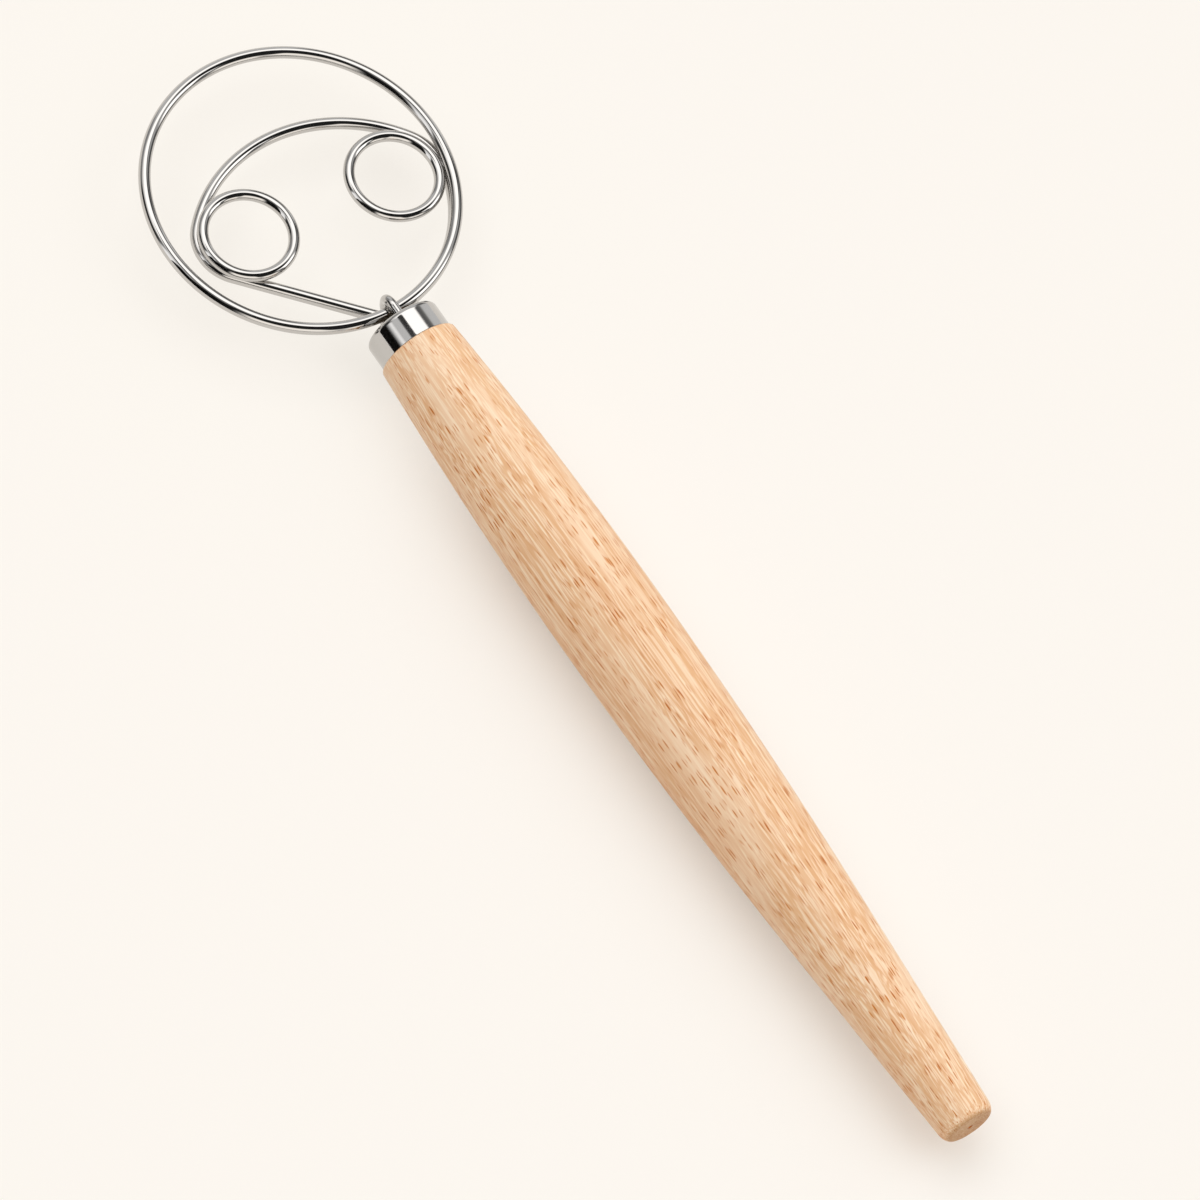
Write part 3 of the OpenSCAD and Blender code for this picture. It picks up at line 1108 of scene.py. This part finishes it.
@dataclass(frozen=True)
class Handle(Part):
    """Turned wooden handle with its tenon and bore.

    Attributes:
        length: From the shoulder at the ferrule back to the butt.
        belly_diameter: Diameter where the handle is thickest.
        belly_distance: From the shoulder back to the belly.
        rear_curve_length: Length of the curve behind the belly, which passes into the taper.
        shoulder_diameter: Diameter at the shoulder.
        shoulder_rounding: Radius of the shoulder's edge.
        butt_diameter: Diameter of the taper at the butt, before its edge is rounded.
        butt_rounding_length: Length of the butt's rounded edge.
        butt_rounding_depth: Depth of the butt's rounded edge.
        mark_diameter: Diameter of the lathe centre's mark, a small cone.
        mark_ring: Share of its radius at which its inmost ring of points lies.
        front_x: Place of the shoulder.
        tenon_radius: Radius of the tenon in the ferrule.
        tenon_end_x: Place of the tenon's end.
        bore_radius: Radius of the bore for the wires.
        bore_end_x: Place where the bore's cylinder ends.
        drill_half_angle: Half of the angle of the bore's tip.
        rows: Rings of points between the two rounded edges.
        sides: Points on each ring.
    """

    length: float = 248.5
    belly_diameter: float = 28.0
    belly_distance: float = 87.5
    rear_curve_length: float = 97.0
    shoulder_diameter: float = 21.8
    shoulder_rounding: float = 0.5
    butt_diameter: float = 14.8
    butt_rounding_length: float = 3.6
    butt_rounding_depth: float = 2.0
    mark_diameter: float = 1.2
    mark_ring: float = 0.3
    front_x: float = -8.5
    tenon_radius: float = 9.55
    tenon_end_x: float = -0.65
    bore_radius: float = HOLE_RADIUS
    bore_end_x: float = -38.0
    drill_half_angle: float = 59.0
    rows: int = 230
    sides: int = 144

    def radius_at(self, x: np.ndarray) -> np.ndarray:
        """Radius of the wood along the handle, before its ends are rounded.

        In front of the belly it follows a circle, behind it a parabola, and then a straight
        line with the slope of the parabola's end.

        Args:
            x: Places along the handle.

        Returns:
            The radius at each place.
        """
        belly_r, belly_x = self.belly_diameter / 2, self.front_x - self.belly_distance
        drop = belly_r - self.shoulder_diameter / 2
        circle = (self.belly_distance**2 + drop**2) / (2 * drop)
        front = belly_r - circle + np.sqrt(circle**2 - (x - belly_x) ** 2)
        curve = self.rear_curve_length
        rear = self.length - self.belly_distance
        bend = curve * (rear - curve / 2) / (belly_r - self.butt_diameter / 2)
        back = np.minimum(belly_x - x, curve)
        behind = belly_r - back**2 / (2 * bend) - curve / bend * (belly_x - x - back)
        return np.where(x > belly_x, front, behind)

    def outline(self) -> Outline:
        """Draws the half outline from the butt's middle round to the bore's tip.

        Returns:
            The outline, open, with both ends on the axis.
        """
        soft = self.shoulder_rounding
        rounding = (self.butt_rounding_length, self.butt_rounding_depth)
        butt_x, mark_r = self.front_x - self.length, self.mark_diameter / 2
        mark_start = (butt_x + mark_r * (1 - self.mark_ring), mark_r * self.mark_ring)
        edge_x, round_x = butt_x + rounding[0], self.front_x - soft
        edge_r, round_r = (float(r) for r in self.radius_at(np.array([edge_x, round_x])))
        flat_r = edge_r - rounding[1]
        wood_x = np.linspace(edge_x, round_x, self.rows, endpoint=False)
        tenon_foot = (self.front_x, self.tenon_radius)
        tenon_edge = (self.tenon_end_x, self.tenon_radius)
        bore_mouth = (self.tenon_end_x, self.bore_radius)
        bore_end = (self.bore_end_x, self.bore_radius)
        tip_x = self.bore_end_x - self.bore_radius / math.tan(math.radians(self.drill_half_angle))
        points = [
            [[butt_x + mark_r, 0.0]],
            line(mark_start, (butt_x, mark_r), steps=3),
            line((butt_x, mark_r), (butt_x, flat_r), steps=10),
            quarter((edge_x, flat_r), rounding, start=180, end=90, steps=20),
            np.stack([wood_x, self.radius_at(wood_x)], axis=1),
            quarter((round_x, round_r - soft), (soft, soft), start=90, end=0, steps=6),
            line((self.front_x, round_r - soft), tenon_foot, steps=2),
            line(tenon_foot, tenon_edge, steps=8),
            line(tenon_edge, bore_mouth, steps=3),
            line(bore_mouth, bore_end, steps=20),
            line(bore_end, (tip_x, 0.0), steps=6),
            [[tip_x, 0.0]],
        ]
        return Outline(np.vstack(points), closed=False)

    def build(self, material: bpy.types.Material) -> None:
        """Adds the handle to the scene."""
        self.show(self.outline().shell(self.sides), "handle", Slot.WOOD, material)


@dataclass(frozen=True)
class Ferrule(Part):
    """Cap of polished sheet with a rounded front edge, a mouth and softly broken rims.

    Attributes:
        radius: Radius of its outside.
        length: Its length.
        wall: Thickness of the sheet.
        edge_radius: Radius of the front edge, outside.
        mouth_radius: Radius of the mouth for the wires.
        rim_radius: Radius of the rear rim's edge.
        mouth_rounding: Radius of the mouth's edge.
        sides: Points on each ring.
    """

    radius: float = 10.2
    length: float = 8.5
    wall: float = 0.6
    edge_radius: float = 1.6
    mouth_radius: float = HOLE_RADIUS
    rim_radius: float = 0.22
    mouth_rounding: float = 0.2
    sides: int = 160

    def outline(self) -> Outline:
        """Draws the sheet's section from the rear rim over the outside and back inside.

        Returns:
            The outline, closed.
        """
        rear, rim, lip = -self.length, self.rim_radius, self.mouth_rounding
        edge, inner = self.edge_radius, self.edge_radius - self.wall
        outer_r, inner_r = self.radius, self.radius - self.wall
        mouth_r, back = self.mouth_radius, -self.wall
        parts = [
            quarter((rear + rim, outer_r - rim), (rim, rim), start=180, end=90, steps=6),
            line((rear + rim, outer_r), (-edge, outer_r), steps=30),
            quarter((-edge, outer_r - edge), (edge, edge), start=90, end=0, steps=16),
            line((0.0, outer_r - edge), (0.0, mouth_r + lip), steps=12),
            quarter((-lip, mouth_r + lip), (lip, lip), start=0, end=-90, steps=6),
            line((-lip, mouth_r), (back, mouth_r), steps=3),
            line((back, mouth_r), (back, inner_r - inner), steps=8),
            quarter((-edge, inner_r - inner), (inner, inner), start=0, end=90, steps=8),
            line((-edge, inner_r), (rear, inner_r), steps=12),
            line((rear, inner_r), (rear, outer_r - rim), steps=2),
        ]
        return Outline(np.vstack(parts), closed=True)

    def build(self, material: bpy.types.Material) -> None:
        """Adds the ferrule to the scene."""
        self.show(self.outline().shell(self.sides), "ferrule", Slot.FERRULE, material)


@dataclass(frozen=True)
class Head(Part):
    """The bent wires: outer ring, inner bow, two eye rings and the clasp at the neck.

    Where a size differs from side to side, the left side's comes first.

    Attributes:
        ring_centre: Centre of the outer ring.
        ring_radius: Radius of its centre line.
        ring_points: Points on its centre line.
        wire_radius: Radius of its wire and of the bow's.
        wire_gap: Gap left between wires that touch.
        arch: Centre of the bow's arch.
        arch_radius: Its radius.
        shoulder_radius: Radius of the bow's shoulder on each side.
        shoulder_y: Side distance of each shoulder's centre.
        handover: Direction in which the right shoulder passes into its tail.
        tail_standoff: Distance of the right tail's curve from the ferrule's face.
        bend_radius: Radius of the two bends at the neck.
        bend_x: Where the bend on each side starts.
        leg_y: Side distance of the bow's legs.
        leg_end_x: Where the bow's legs end.
        eye_radius: Radius of an eye ring's centre line.
        eye_points: Points on its centre line.
        eye_wire_radius: Radius of its wire.
        eye_seat: Direction from each shoulder's centre to where the eye ring rests on it, and
            how far the ring reaches past the shoulder's centre line there.
        clasp_radius: Radius of the clasp's wire.
        clasp_bend: Radius of its two bends.
        clasp_turn: Turn of its plane from upright.
        clasp_end_x: Where its legs end.
        clasp_step: Distance between points along it.
    """

    ring_centre: Pair = (43.8, 1.7)
    ring_radius: float = 40.4
    ring_points: int = 512
    wire_radius: float = 1.6
    wire_gap: float = 0.05
    arch: Pair = (19.3, -0.4)
    arch_radius: float = 42.2
    shoulder_radius: Pair = (11.6, 14.9)
    shoulder_y: Pair = (21.9, -22.2)
    handover: float = -105.0
    tail_standoff: float = 4.7
    bend_radius: float = 4.0
    bend_x: Pair = (2.0, 0.4)
    leg_y: float = 1.8
    leg_end_x: float = -34.0
    eye_radius: float = 11.8
    eye_points: int = 220
    eye_wire_radius: float = 1.5
    eye_seat: tuple[Pair, Pair] = ((213.0, 1.6), (-41.0, -2.3))
    clasp_radius: float = 1.3
    clasp_bend: float = 3.7
    clasp_turn: float = 10.0
    clasp_end_x: float = -24.0
    clasp_step: float = 0.35

    @property
    def layer(self) -> float:
        """Height of the outer ring's plane above the axis, and depth of the bow's below it."""
        return self.wire_radius + self.wire_gap / 2

    def shoulder(self, side: Side) -> tuple[np.ndarray, float]:
        """Finds a shoulder, which touches the arch from inside.

        Args:
            side: Side of the head.

        Returns:
            Its centre and radius.
        """
        radius, y = side.pick(self.shoulder_radius), side.pick(self.shoulder_y)
        reach = self.arch_radius - radius
        x = self.arch[0] + math.sqrt(reach**2 - (y - self.arch[1]) ** 2)
        return np.array([x, y]), radius

    def right_tail(self) -> tuple[np.ndarray, float]:
        """Finds the circle of the right tail, which the right shoulder touches from inside.

        Returns:
            Its centre and radius.
        """
        centre, radius = self.shoulder(Side.RIGHT)
        back = polar(1.0, self.handover)
        reach = -back[0]
        tail = (centre[0] - self.tail_standoff - radius * reach) / (1 - reach)
        return centre - (tail - radius) * back, tail

    def leave_angle(self, centre: np.ndarray, radius: float, side: Side) -> float:
        """Finds where a straight run leaves a curve to meet the bend at the neck.

        The run touches both circles from opposite sides, so it leaves where the radii added
        together over the distance of the centres is the cosine of the turn from their line.

        Args:
            centre: Centre of the curve.
            radius: Its radius.
            side: Side of the head.

        Returns:
            The angle, the same way round on both sides.
        """
        across = self.leg_y + self.bend_radius
        dx, dy = centre[0] - side.pick(self.bend_x), across - side.value * centre[1]
        ratio = (radius + self.bend_radius) / math.hypot(dx, dy)
        return math.degrees(math.atan2(dy, dx) + math.acos(ratio))

    def bow_line(self) -> np.ndarray:
        """Draws the bow from its left leg over the arch to its right leg.

        Returns:
            Points and directions of its centre line.
        """
        left, left_r = self.shoulder(Side.LEFT)
        right, right_r = self.shoulder(Side.RIGHT)
        tail, tail_r = self.right_tail()
        arch, bend_r = np.array(self.arch), self.bend_radius
        out = self.leave_angle(left, left_r, Side.LEFT)
        back = self.leave_angle(tail, tail_r, Side.RIGHT)
        across = self.leg_y + bend_r
        left_bend, right_bend = (np.array([s.pick(self.bend_x), s.value * across]) for s in Side)
        left_meet, right_meet = angle_of(left - arch), angle_of(right - arch)
        leg_end = np.array([self.leg_end_x, -self.leg_y])

        trace = CentreLine()
        trace.run(np.array([self.leg_end_x, self.leg_y]), np.array([self.bend_x[0], self.leg_y]))
        trace.arc(left_bend, bend_r, -90, -out)
        trace.run(left_bend + polar(bend_r, -out), left + polar(left_r, 180 - out))
        trace.arc(left, left_r, 180 - out, left_meet)
        trace.arc(arch, self.arch_radius, left_meet, right_meet)
        trace.arc(right, right_r, right_meet, self.handover)
        trace.arc(tail, tail_r, self.handover, back - 180)
        trace.run(tail + polar(tail_r, back - 180), right_bend + polar(bend_r, back))
        trace.arc(right_bend, bend_r, back, 90)
        trace.run(np.array([self.bend_x[1], -self.leg_y]), leg_end)
        return trace.finish(leg_end)

    def eye(self, side: Side) -> tuple[np.ndarray, float]:
        """Finds an eye ring, which rests on its shoulder's wire.

        Args:
            side: Side of the head.

        Returns:
            Its centre, and the height of its plane.
        """
        angle, overhang = side.pick(self.eye_seat)
        centre, radius = self.shoulder(side)
        reach = self.wire_radius + self.eye_wire_radius + self.wire_gap
        inset = max(-overhang, 0.0)
        height = -self.layer + math.sqrt(reach**2 - inset**2)
        return centre + polar(radius - self.eye_radius + overhang, angle), height

    def clasp_line(self) -> np.ndarray:
        """Draws the clasp from its upper leg round its crown to its lower leg.

        The crown stops where its wire would touch the outer ring's.

        Returns:
            Points and directions of its centre line, in its own plane.
        """
        turn = math.radians(self.clasp_turn)
        leg = (self.layer + self.wire_radius + self.wire_gap + self.clasp_radius) / math.cos(turn)
        ring_x, ring_y = self.ring_centre
        cross_y = self.layer * math.tan(turn) - ring_y
        cross_x = ring_x - math.sqrt(self.ring_radius**2 - cross_y**2)
        cross_z, cross_r = self.layer / math.cos(turn), self.wire_radius / math.cos(turn)
        bend_z = leg - self.clasp_bend
        room = self.clasp_bend - self.clasp_radius - cross_r - self.wire_gap
        bend_x = cross_x - math.sqrt(room**2 - (cross_z - bend_z) ** 2)
        crown_x = bend_x + self.clasp_bend
        end = np.array([self.clasp_end_x, -leg])

        trace = CentreLine(step=self.clasp_step)
        trace.run(np.array([self.clasp_end_x, leg]), np.array([bend_x, leg]))
        trace.arc(np.array([bend_x, bend_z]), self.clasp_bend, 90, 0)
        trace.run(np.array([crown_x, bend_z]), np.array([crown_x, -bend_z]))
        trace.arc(np.array([bend_x, -bend_z]), self.clasp_bend, 0, -90)
        trace.run(np.array([bend_x, -leg]), end)
        return trace.finish(end)

    def build(self, material: bpy.types.Material) -> None:
        """Adds the five wires to the scene.

        Args:
            material: The finish of them all.
        """
        ring = circle_line(np.array(self.ring_centre), self.ring_radius, 180, self.ring_points)
        wires = {
            "outer_ring": Wire(ring, self.wire_radius, self.layer, closed=True),
            "inner_bow": Wire(self.bow_line(), self.wire_radius, -self.layer),
            "neck_clasp": Wire(self.clasp_line(), self.clasp_radius, turn=90 - self.clasp_turn),
        }
        for side in Side:
            centre, height = self.eye(side)
            loop = circle_line(centre, self.eye_radius, 0, self.eye_points)
            name = f"{side.name.lower()}_eye_ring"
            wires[name] = Wire(loop, self.eye_wire_radius, height, closed=True)
        for name, wire in wires.items():
            self.show(wire.shell(), name, Slot.WIRE, material)


# Studio


@dataclass(frozen=True)
class Panel:
    """One lit or dark area of the studio, as seen from the whisk.

    Attributes:
        azimuth: Direction of its middle round the whisk, from x towards y.
        elevation: Height of its middle above the floor.
        half_width: Half of its width.
        half_height: Half of its height.
        softness: Width of its blurred edge.
        level: Its brightness, where 1 is white.
        tint: Its colour at level 1.
    """

    azimuth: float
    elevation: float
    half_width: float
    half_height: float
    softness: float
    level: float
    tint: Colour = (1.0, 1.0, 1.0)

    def area(self) -> tuple[float, ...]:
        """Gives its place, size and softness, in the order of the fields."""
        return self.azimuth, self.elevation, self.half_width, self.half_height, self.softness

    def colour(self) -> Colour:
        """Gives the panel's colour at its brightness."""
        return tuple(c * self.level for c in self.tint)

    def paint(
        self, g: Graph, window: bpy.types.NodeTree, look: tuple[Socket, Socket],
        under: Colour | Socket,
    ) -> Socket:
        """Paints the panel over the colour under it.

        Args:
            g: Graph of the world.
            window: Group that says whether a direction looks at a panel.
            look: Azimuth and elevation of the direction.
            under: Colour under the panel.

        Returns:
            The colour with the panel on it.
        """
        inputs = dict(enumerate((*look, *self.area())))
        mask = g.add("Group", inputs, node_tree=window).outputs["Mask"]
        return g.blend(mask, under, self.colour())


@dataclass(frozen=True)
class Studio:
    """World round the whisk: a soft sky for matt surfaces, lights and walls for polished ones.

    Attributes:
        fill: Light of the sky near the horizon.
        sky: Broad soft boxes that light matt surfaces, from back to front.
        surround: Colour that polished surfaces mirror between the panels.
        panels: Lights, walls and dark areas that polished surfaces mirror, from back to front.
    """

    fill: Colour = (0.33, 0.272, 0.212)
    sky: tuple[Panel, ...] = (
        # Box overhead, and the main light on the right
        Panel(20, 70, 80, 24, 20, 2.3, WARM_WHITE),
        Panel(-124, 54, 54, 22, 50, 2.1, WARM_WHITE),
    )
    surround: Colour = (0.30, 0.295, 0.285)
    panels: tuple[Panel, ...] = (
        # Pale wall in front, and the soft boxes over it
        Panel(-18, 12, 34, 26, 12, 0.75),
        Panel(-10, 66, 60, 22, 14, 1.9, WARM_WHITE),
        Panel(25, 41, 24, 9, 10, 1.1, WARM_WHITE),
        # Main light, from the right
        Panel(-125, 32, 19, 14, 8, 2.3, WARM_WHITE),
        # Lit walls behind the butt and on the left
        Panel(-166, 12, 14, 16, 10, 1.5, BEIGE),
        Panel(150, 26, 26, 18, 14, 1.5, BEIGE),
        # Dark ceiling over the butt
        Panel(-154, 67, 78, 19, 6, 0.02),
        Panel(150, 62, 44, 14, 10, 0.02),
        Panel(-168, 49, 20, 18, 8, 0.02),
        # Dark room behind the camera, with a lit strip beside it
        Panel(102, 15, 17, 50, 8, 0.015),
        Panel(72, 16, 9, 38, 7, 1.4),
        Panel(47, 5, 16, 28, 10, 0.04),
        # Dark gaps and stands, with lit strips between them
        Panel(36, 68, 18, 9, 6, 0.05),
        Panel(62, 54, 14, 9, 6, 0.8),
        Panel(-90, 44, 13, 13, 10, 0.55),
        Panel(-97, 8, 14, 22, 10, 0.12),
        Panel(-66, 44, 6, 7, 7, 0.15),
        Panel(-52, 5, 8, 26, 6, 0.15),
        Panel(-75, 38, 6, 14, 7, 0.05),
        Panel(-72, 8, 5, 24, 7, 0.8),
        Panel(-112, -2, 12, 14, 9, 0.1),
        Panel(-143, 12, 5, 26, 5, 0.15),
        Panel(8, 14, 10, 20, 9, 0.35),
    )

    @staticmethod
    def window() -> bpy.types.NodeTree:
        """Builds the group that says whether a direction looks at a panel.

        Returns:
            The group, which takes a direction and a panel's area, and gives a Mask.
        """
        names = ("Azimuth", "Elevation", "Middle Azimuth", "Middle Elevation", "Half Width",
                 "Half Height", "Softness")
        g = GroupBuilder("Studio panel", dict.fromkeys(names, "Float"), {"Mask": "Float"})
        half_soft = g.math("MULTIPLY", g.take("Softness"), 0.5)
        turned = g.math("SUBTRACT", g.take("Azimuth"), g.take("Middle Azimuth"))
        raised = g.math("SUBTRACT", g.take("Elevation"), g.take("Middle Elevation"))
        across = g.math("ABSOLUTE", g.math("WRAP", turned, 180.0, -180.0))
        up = g.math("ABSOLUTE", raised)
        masks = []
        for distance, half in ((across, "Half Width"), (up, "Half Height")):
            outer = g.math("ADD", g.take(half), half_soft)
            inner = g.math("SUBTRACT", g.take(half), half_soft)
            masks.append(g.ramp(distance, outer, inner))
        g.send("Mask", g.math("MULTIPLY", *masks))
        return g.tree

    def build(self) -> None:
        """Sets up the world."""
        world = bpy.data.worlds.new("studio")
        world.use_nodes = True
        bpy.context.scene.world = world
        g = Graph(world.node_tree)
        parts = g.add("SeparateXYZ", {0: g.add("TexCoord").outputs["Generated"]}).outputs
        azimuth = g.math("DEGREES", g.math("ARCTAN2", parts["Y"], parts["X"]))
        elevation = g.math("DEGREES", g.math("ARCSINE", parts["Z"]))
        window = self.window()
        lights = []
        for colour, panels in ((self.fill, self.sky), (self.surround, self.panels)):
            for panel in panels:
                colour = panel.paint(g, window, (azimuth, elevation), colour)
            lights.append(g.add("Background", {"Color": colour}).outputs[0])
        glossy = g.add("LightPath").outputs["Is Glossy Ray"]
        light = g.add("MixShader", {0: glossy, 1: lights[0], 2: lights[1]})
        g.add("OutputWorld", {"Surface": light.outputs[0]})


@dataclass(frozen=True)
class Card:
    """Black card that stands near the ferrule and shows only in polished surfaces.

    Attributes:
        beside: Point that it faces, in mm in the frame.
        azimuth: Direction of its middle from that point, from x towards y.
        elevation: Height of its middle above that point.
        distance: Distance of its middle from that point.
        half_size: Half of its width and of its height.
        fade_from: Height above its middle from which it fades out towards its upper edge.
        black: Its colour.
    """

    beside: Triple = (81.0, -1.7, 14.0)
    azimuth: float = 73.0
    elevation: float = 22.0
    distance: float = 120.0
    half_size: Pair = (30.0, 42.0)
    fade_from: float = 6.0
    black: Colour = (0.01, 0.01, 0.01)

    def material(self, middle: np.ndarray, up: np.ndarray) -> bpy.types.Material:
        """Builds the card's finish, which fades out upwards.

        Args:
            middle: The card's middle, in mm in the frame.
            up: Direction of its upper edge from there.

        Returns:
            The material.
        """
        g = MaterialBuilder("black_card")
        place = g.vector("SUBTRACT", g.in_mm(g.add("TexCoord").outputs["Object"]), tuple(middle))
        fade = g.ramp(g.measure("DOT_PRODUCT", place, tuple(up)), self.fade_from,
                      self.half_size[1])
        card = g.add("BsdfPrincipled", {"Base Color": self.black, **MATT})
        clear = g.add("BsdfTransparent")
        return g.finish(g.add("MixShader", {0: fade, 1: card.outputs[0], 2: clear.outputs[0]}))

    def build(self) -> None:
        """Adds the card to the scene."""
        azimuth, elevation = math.radians(self.azimuth), math.radians(self.elevation)
        across = np.array([-math.sin(azimuth), math.cos(azimuth), 0.0])
        level = np.array([math.cos(azimuth), math.sin(azimuth), 0.0])
        away = level * math.cos(elevation) + np.array([0.0, 0.0, math.sin(elevation)])
        up = np.cross(away, across)
        middle = np.array(self.beside) + away * self.distance
        wide, high = across * self.half_size[0], up * self.half_size[1]
        corners = [middle + s * wide + t * high for s, t in ((-1, -1), (1, -1), (1, 1), (-1, 1))]
        card = add_sheet("card", [tuple(c * MM) for c in corners], self.material(middle, up))
        card.visible_camera = card.visible_diffuse = card.visible_shadow = False


@dataclass(frozen=True)
class Floor:
    """Large sheet of warm white paper under the whisk. Its lengths are in metres.

    Attributes:
        size: Length of its sides.
        middle: Colour under the whisk.
        edge: Colour farther out, a little darker: painted shade of the light falling off.
        fade: Distances from the origin between which the colour changes.
        white: Plain colour that softens the shadows.
        lift: Share of the plain colour in what is seen of the floor.
        head: Point under the middle of the ring.
        painted_light_under_head: That share under the head: painted light over its shadow.
        reach: Distances from that point between which the share falls.
    """

    size: float = 24.0
    middle: Colour = (0.909, 0.905, 0.896)
    edge: Colour = (0.891, 0.887, 0.876)
    fade: Pair = (0.12, 0.45)
    white: Colour = rgb(253, 248, 240)
    lift: float = 0.38
    head: Triple = (0.129, 0.0, 0.0)
    painted_light_under_head: float = 0.75
    reach: Pair = (0.055, 0.12)

    def material(self) -> bpy.types.Material:
        """Builds the paper's finish.

        Returns:
            The material. What the camera and polished surfaces see of it is mixed with light of
            the plain colour.
        """
        g = MaterialBuilder("floor_paper")
        place = g.add("TexCoord").outputs["Object"]
        # Painted shade: the paper darkens a little away from the whisk, as the light falls off.
        colour = g.blend(g.ramp(g.measure("LENGTH", place), *self.fade), self.middle, self.edge)
        paper = g.add("BsdfPrincipled", {"Base Color": colour, **MATT})
        plain = g.add("Emission", {"Color": self.white})
        rays = g.add("LightPath").outputs
        seen = g.math("MAXIMUM", rays["Is Camera Ray"], rays["Is Glossy Ray"])
        seen = g.math("MAXIMUM", seen, rays["Is Transmission Ray"])
        # Painted light: near the head the plain colour's share rises and fades the head's shadow.
        from_head = g.measure("DISTANCE", place, self.head)
        lift = g.ramp(from_head, *self.reach, (self.painted_light_under_head, self.lift))
        share = g.math("MULTIPLY", seen, lift)
        return g.finish(g.add("MixShader", {0: share, 1: paper.outputs[0], 2: plain.outputs[0]}))

    def build(self) -> None:
        """Adds the floor to the scene."""
        half = self.size / 2
        corners = [(-half, -half, 0), (half, -half, 0), (half, half, 0), (-half, half, 0)]
        floor = add_sheet("floor", corners, self.material())


@dataclass(frozen=True)
class View:
    """Camera with a long lens, high behind the whisk's left side.

    Attributes:
        target: Point that it looks at, in metres.
        distance: Its distance from that point, in metres.
        right: Direction of the picture's right side.
        forward: Direction that it looks in.
        lens: Focal length.
        sensor: Width of the sensor.
        clip: Nearest and farthest distance that it sees, in metres.
    """

    target: Triple = (0.00294, -0.01354, -0.00819)
    distance: float = 3.37688
    right: Triple = (-0.5539, -0.8059, 0.2091)
    forward: Triple = (0.2909, -0.4227, -0.8583)
    lens: float = 400.0
    sensor: float = 36.0
    clip: Pair = (0.1, 50.0)

    def build(self) -> None:
        """Adds the camera to the scene and makes it the scene's camera."""
        forward = Vector(self.forward).normalized()
        right = (Vector(self.right) - Vector(self.right).dot(forward) * forward).normalized()
        up = right.cross(forward)
        turn = Matrix((right, up, -forward)).transposed().to_4x4()
        data = bpy.data.cameras.new("camera")
        data.lens = self.lens
        data.sensor_width = self.sensor
        data.clip_start, data.clip_end = self.clip
        camera = add_object("camera", data)
        camera.matrix_world = Matrix.Translation(Vector(self.target) - forward * self.distance) @ turn
        bpy.context.scene.camera = camera


@dataclass(frozen=True)
class Whisk:
    """The whole whisk.

    Attributes:
        placement: Where it lies in the frame.
        beech: Finish of the handle.
        wire_steel: Finish of the wires.
        ferrule_steel: Finish of the ferrule.
        resin: Finish of the resin plug.
    """

    placement: Placement = Placement()
    beech: Beech = Beech()
    wire_steel: Steel = Steel(
        "wire_steel", roughness=(0.02, 0.04), lines=(0.05, 2.5, 2.5), relief=0.0003,
        follow=Follow.WIRE,
    )
    ferrule_steel: Steel = Steel(
        "ferrule_steel", roughness=(0.06, 0.1), lines=(4.0, 0.25, 0.25), relief=0.001,
        follow=Follow.AXES,
    )
    resin: Resin = Resin()

    def build(self, nodes: dict[str, bpy.types.Object]) -> None:
        """Adds every piece to the scene.

        Args:
            nodes: The solids by name. The resin keeps its solid, with a new finish.
        """
        Handle(self.placement).build(self.beech.material(self.placement))
        Ferrule(self.placement).build(self.ferrule_steel.material())
        Head(self.placement).build(self.wire_steel.material())
        plug = nodes["resin_plug"]
        plug.data.materials.clear()
        plug.data.materials.append(self.resin.material())
        LOG.info("resin_plug: its own solid, with the resin's finish")


def main() -> None:
    """Builds the scene."""
    logging.basicConfig(level=logging.INFO, format="%(name)s: %(message)s")
    bpy.ops.object.select_all(action="SELECT")
    bpy.ops.object.delete()
    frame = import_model()
    Whisk().build(frame["nodes"])
    Floor().build()
    Card().build()
    Studio().build()
    View().build()
    bpy.context.scene.view_settings.view_transform = "Standard"


if __name__ == "__main__":
    main()
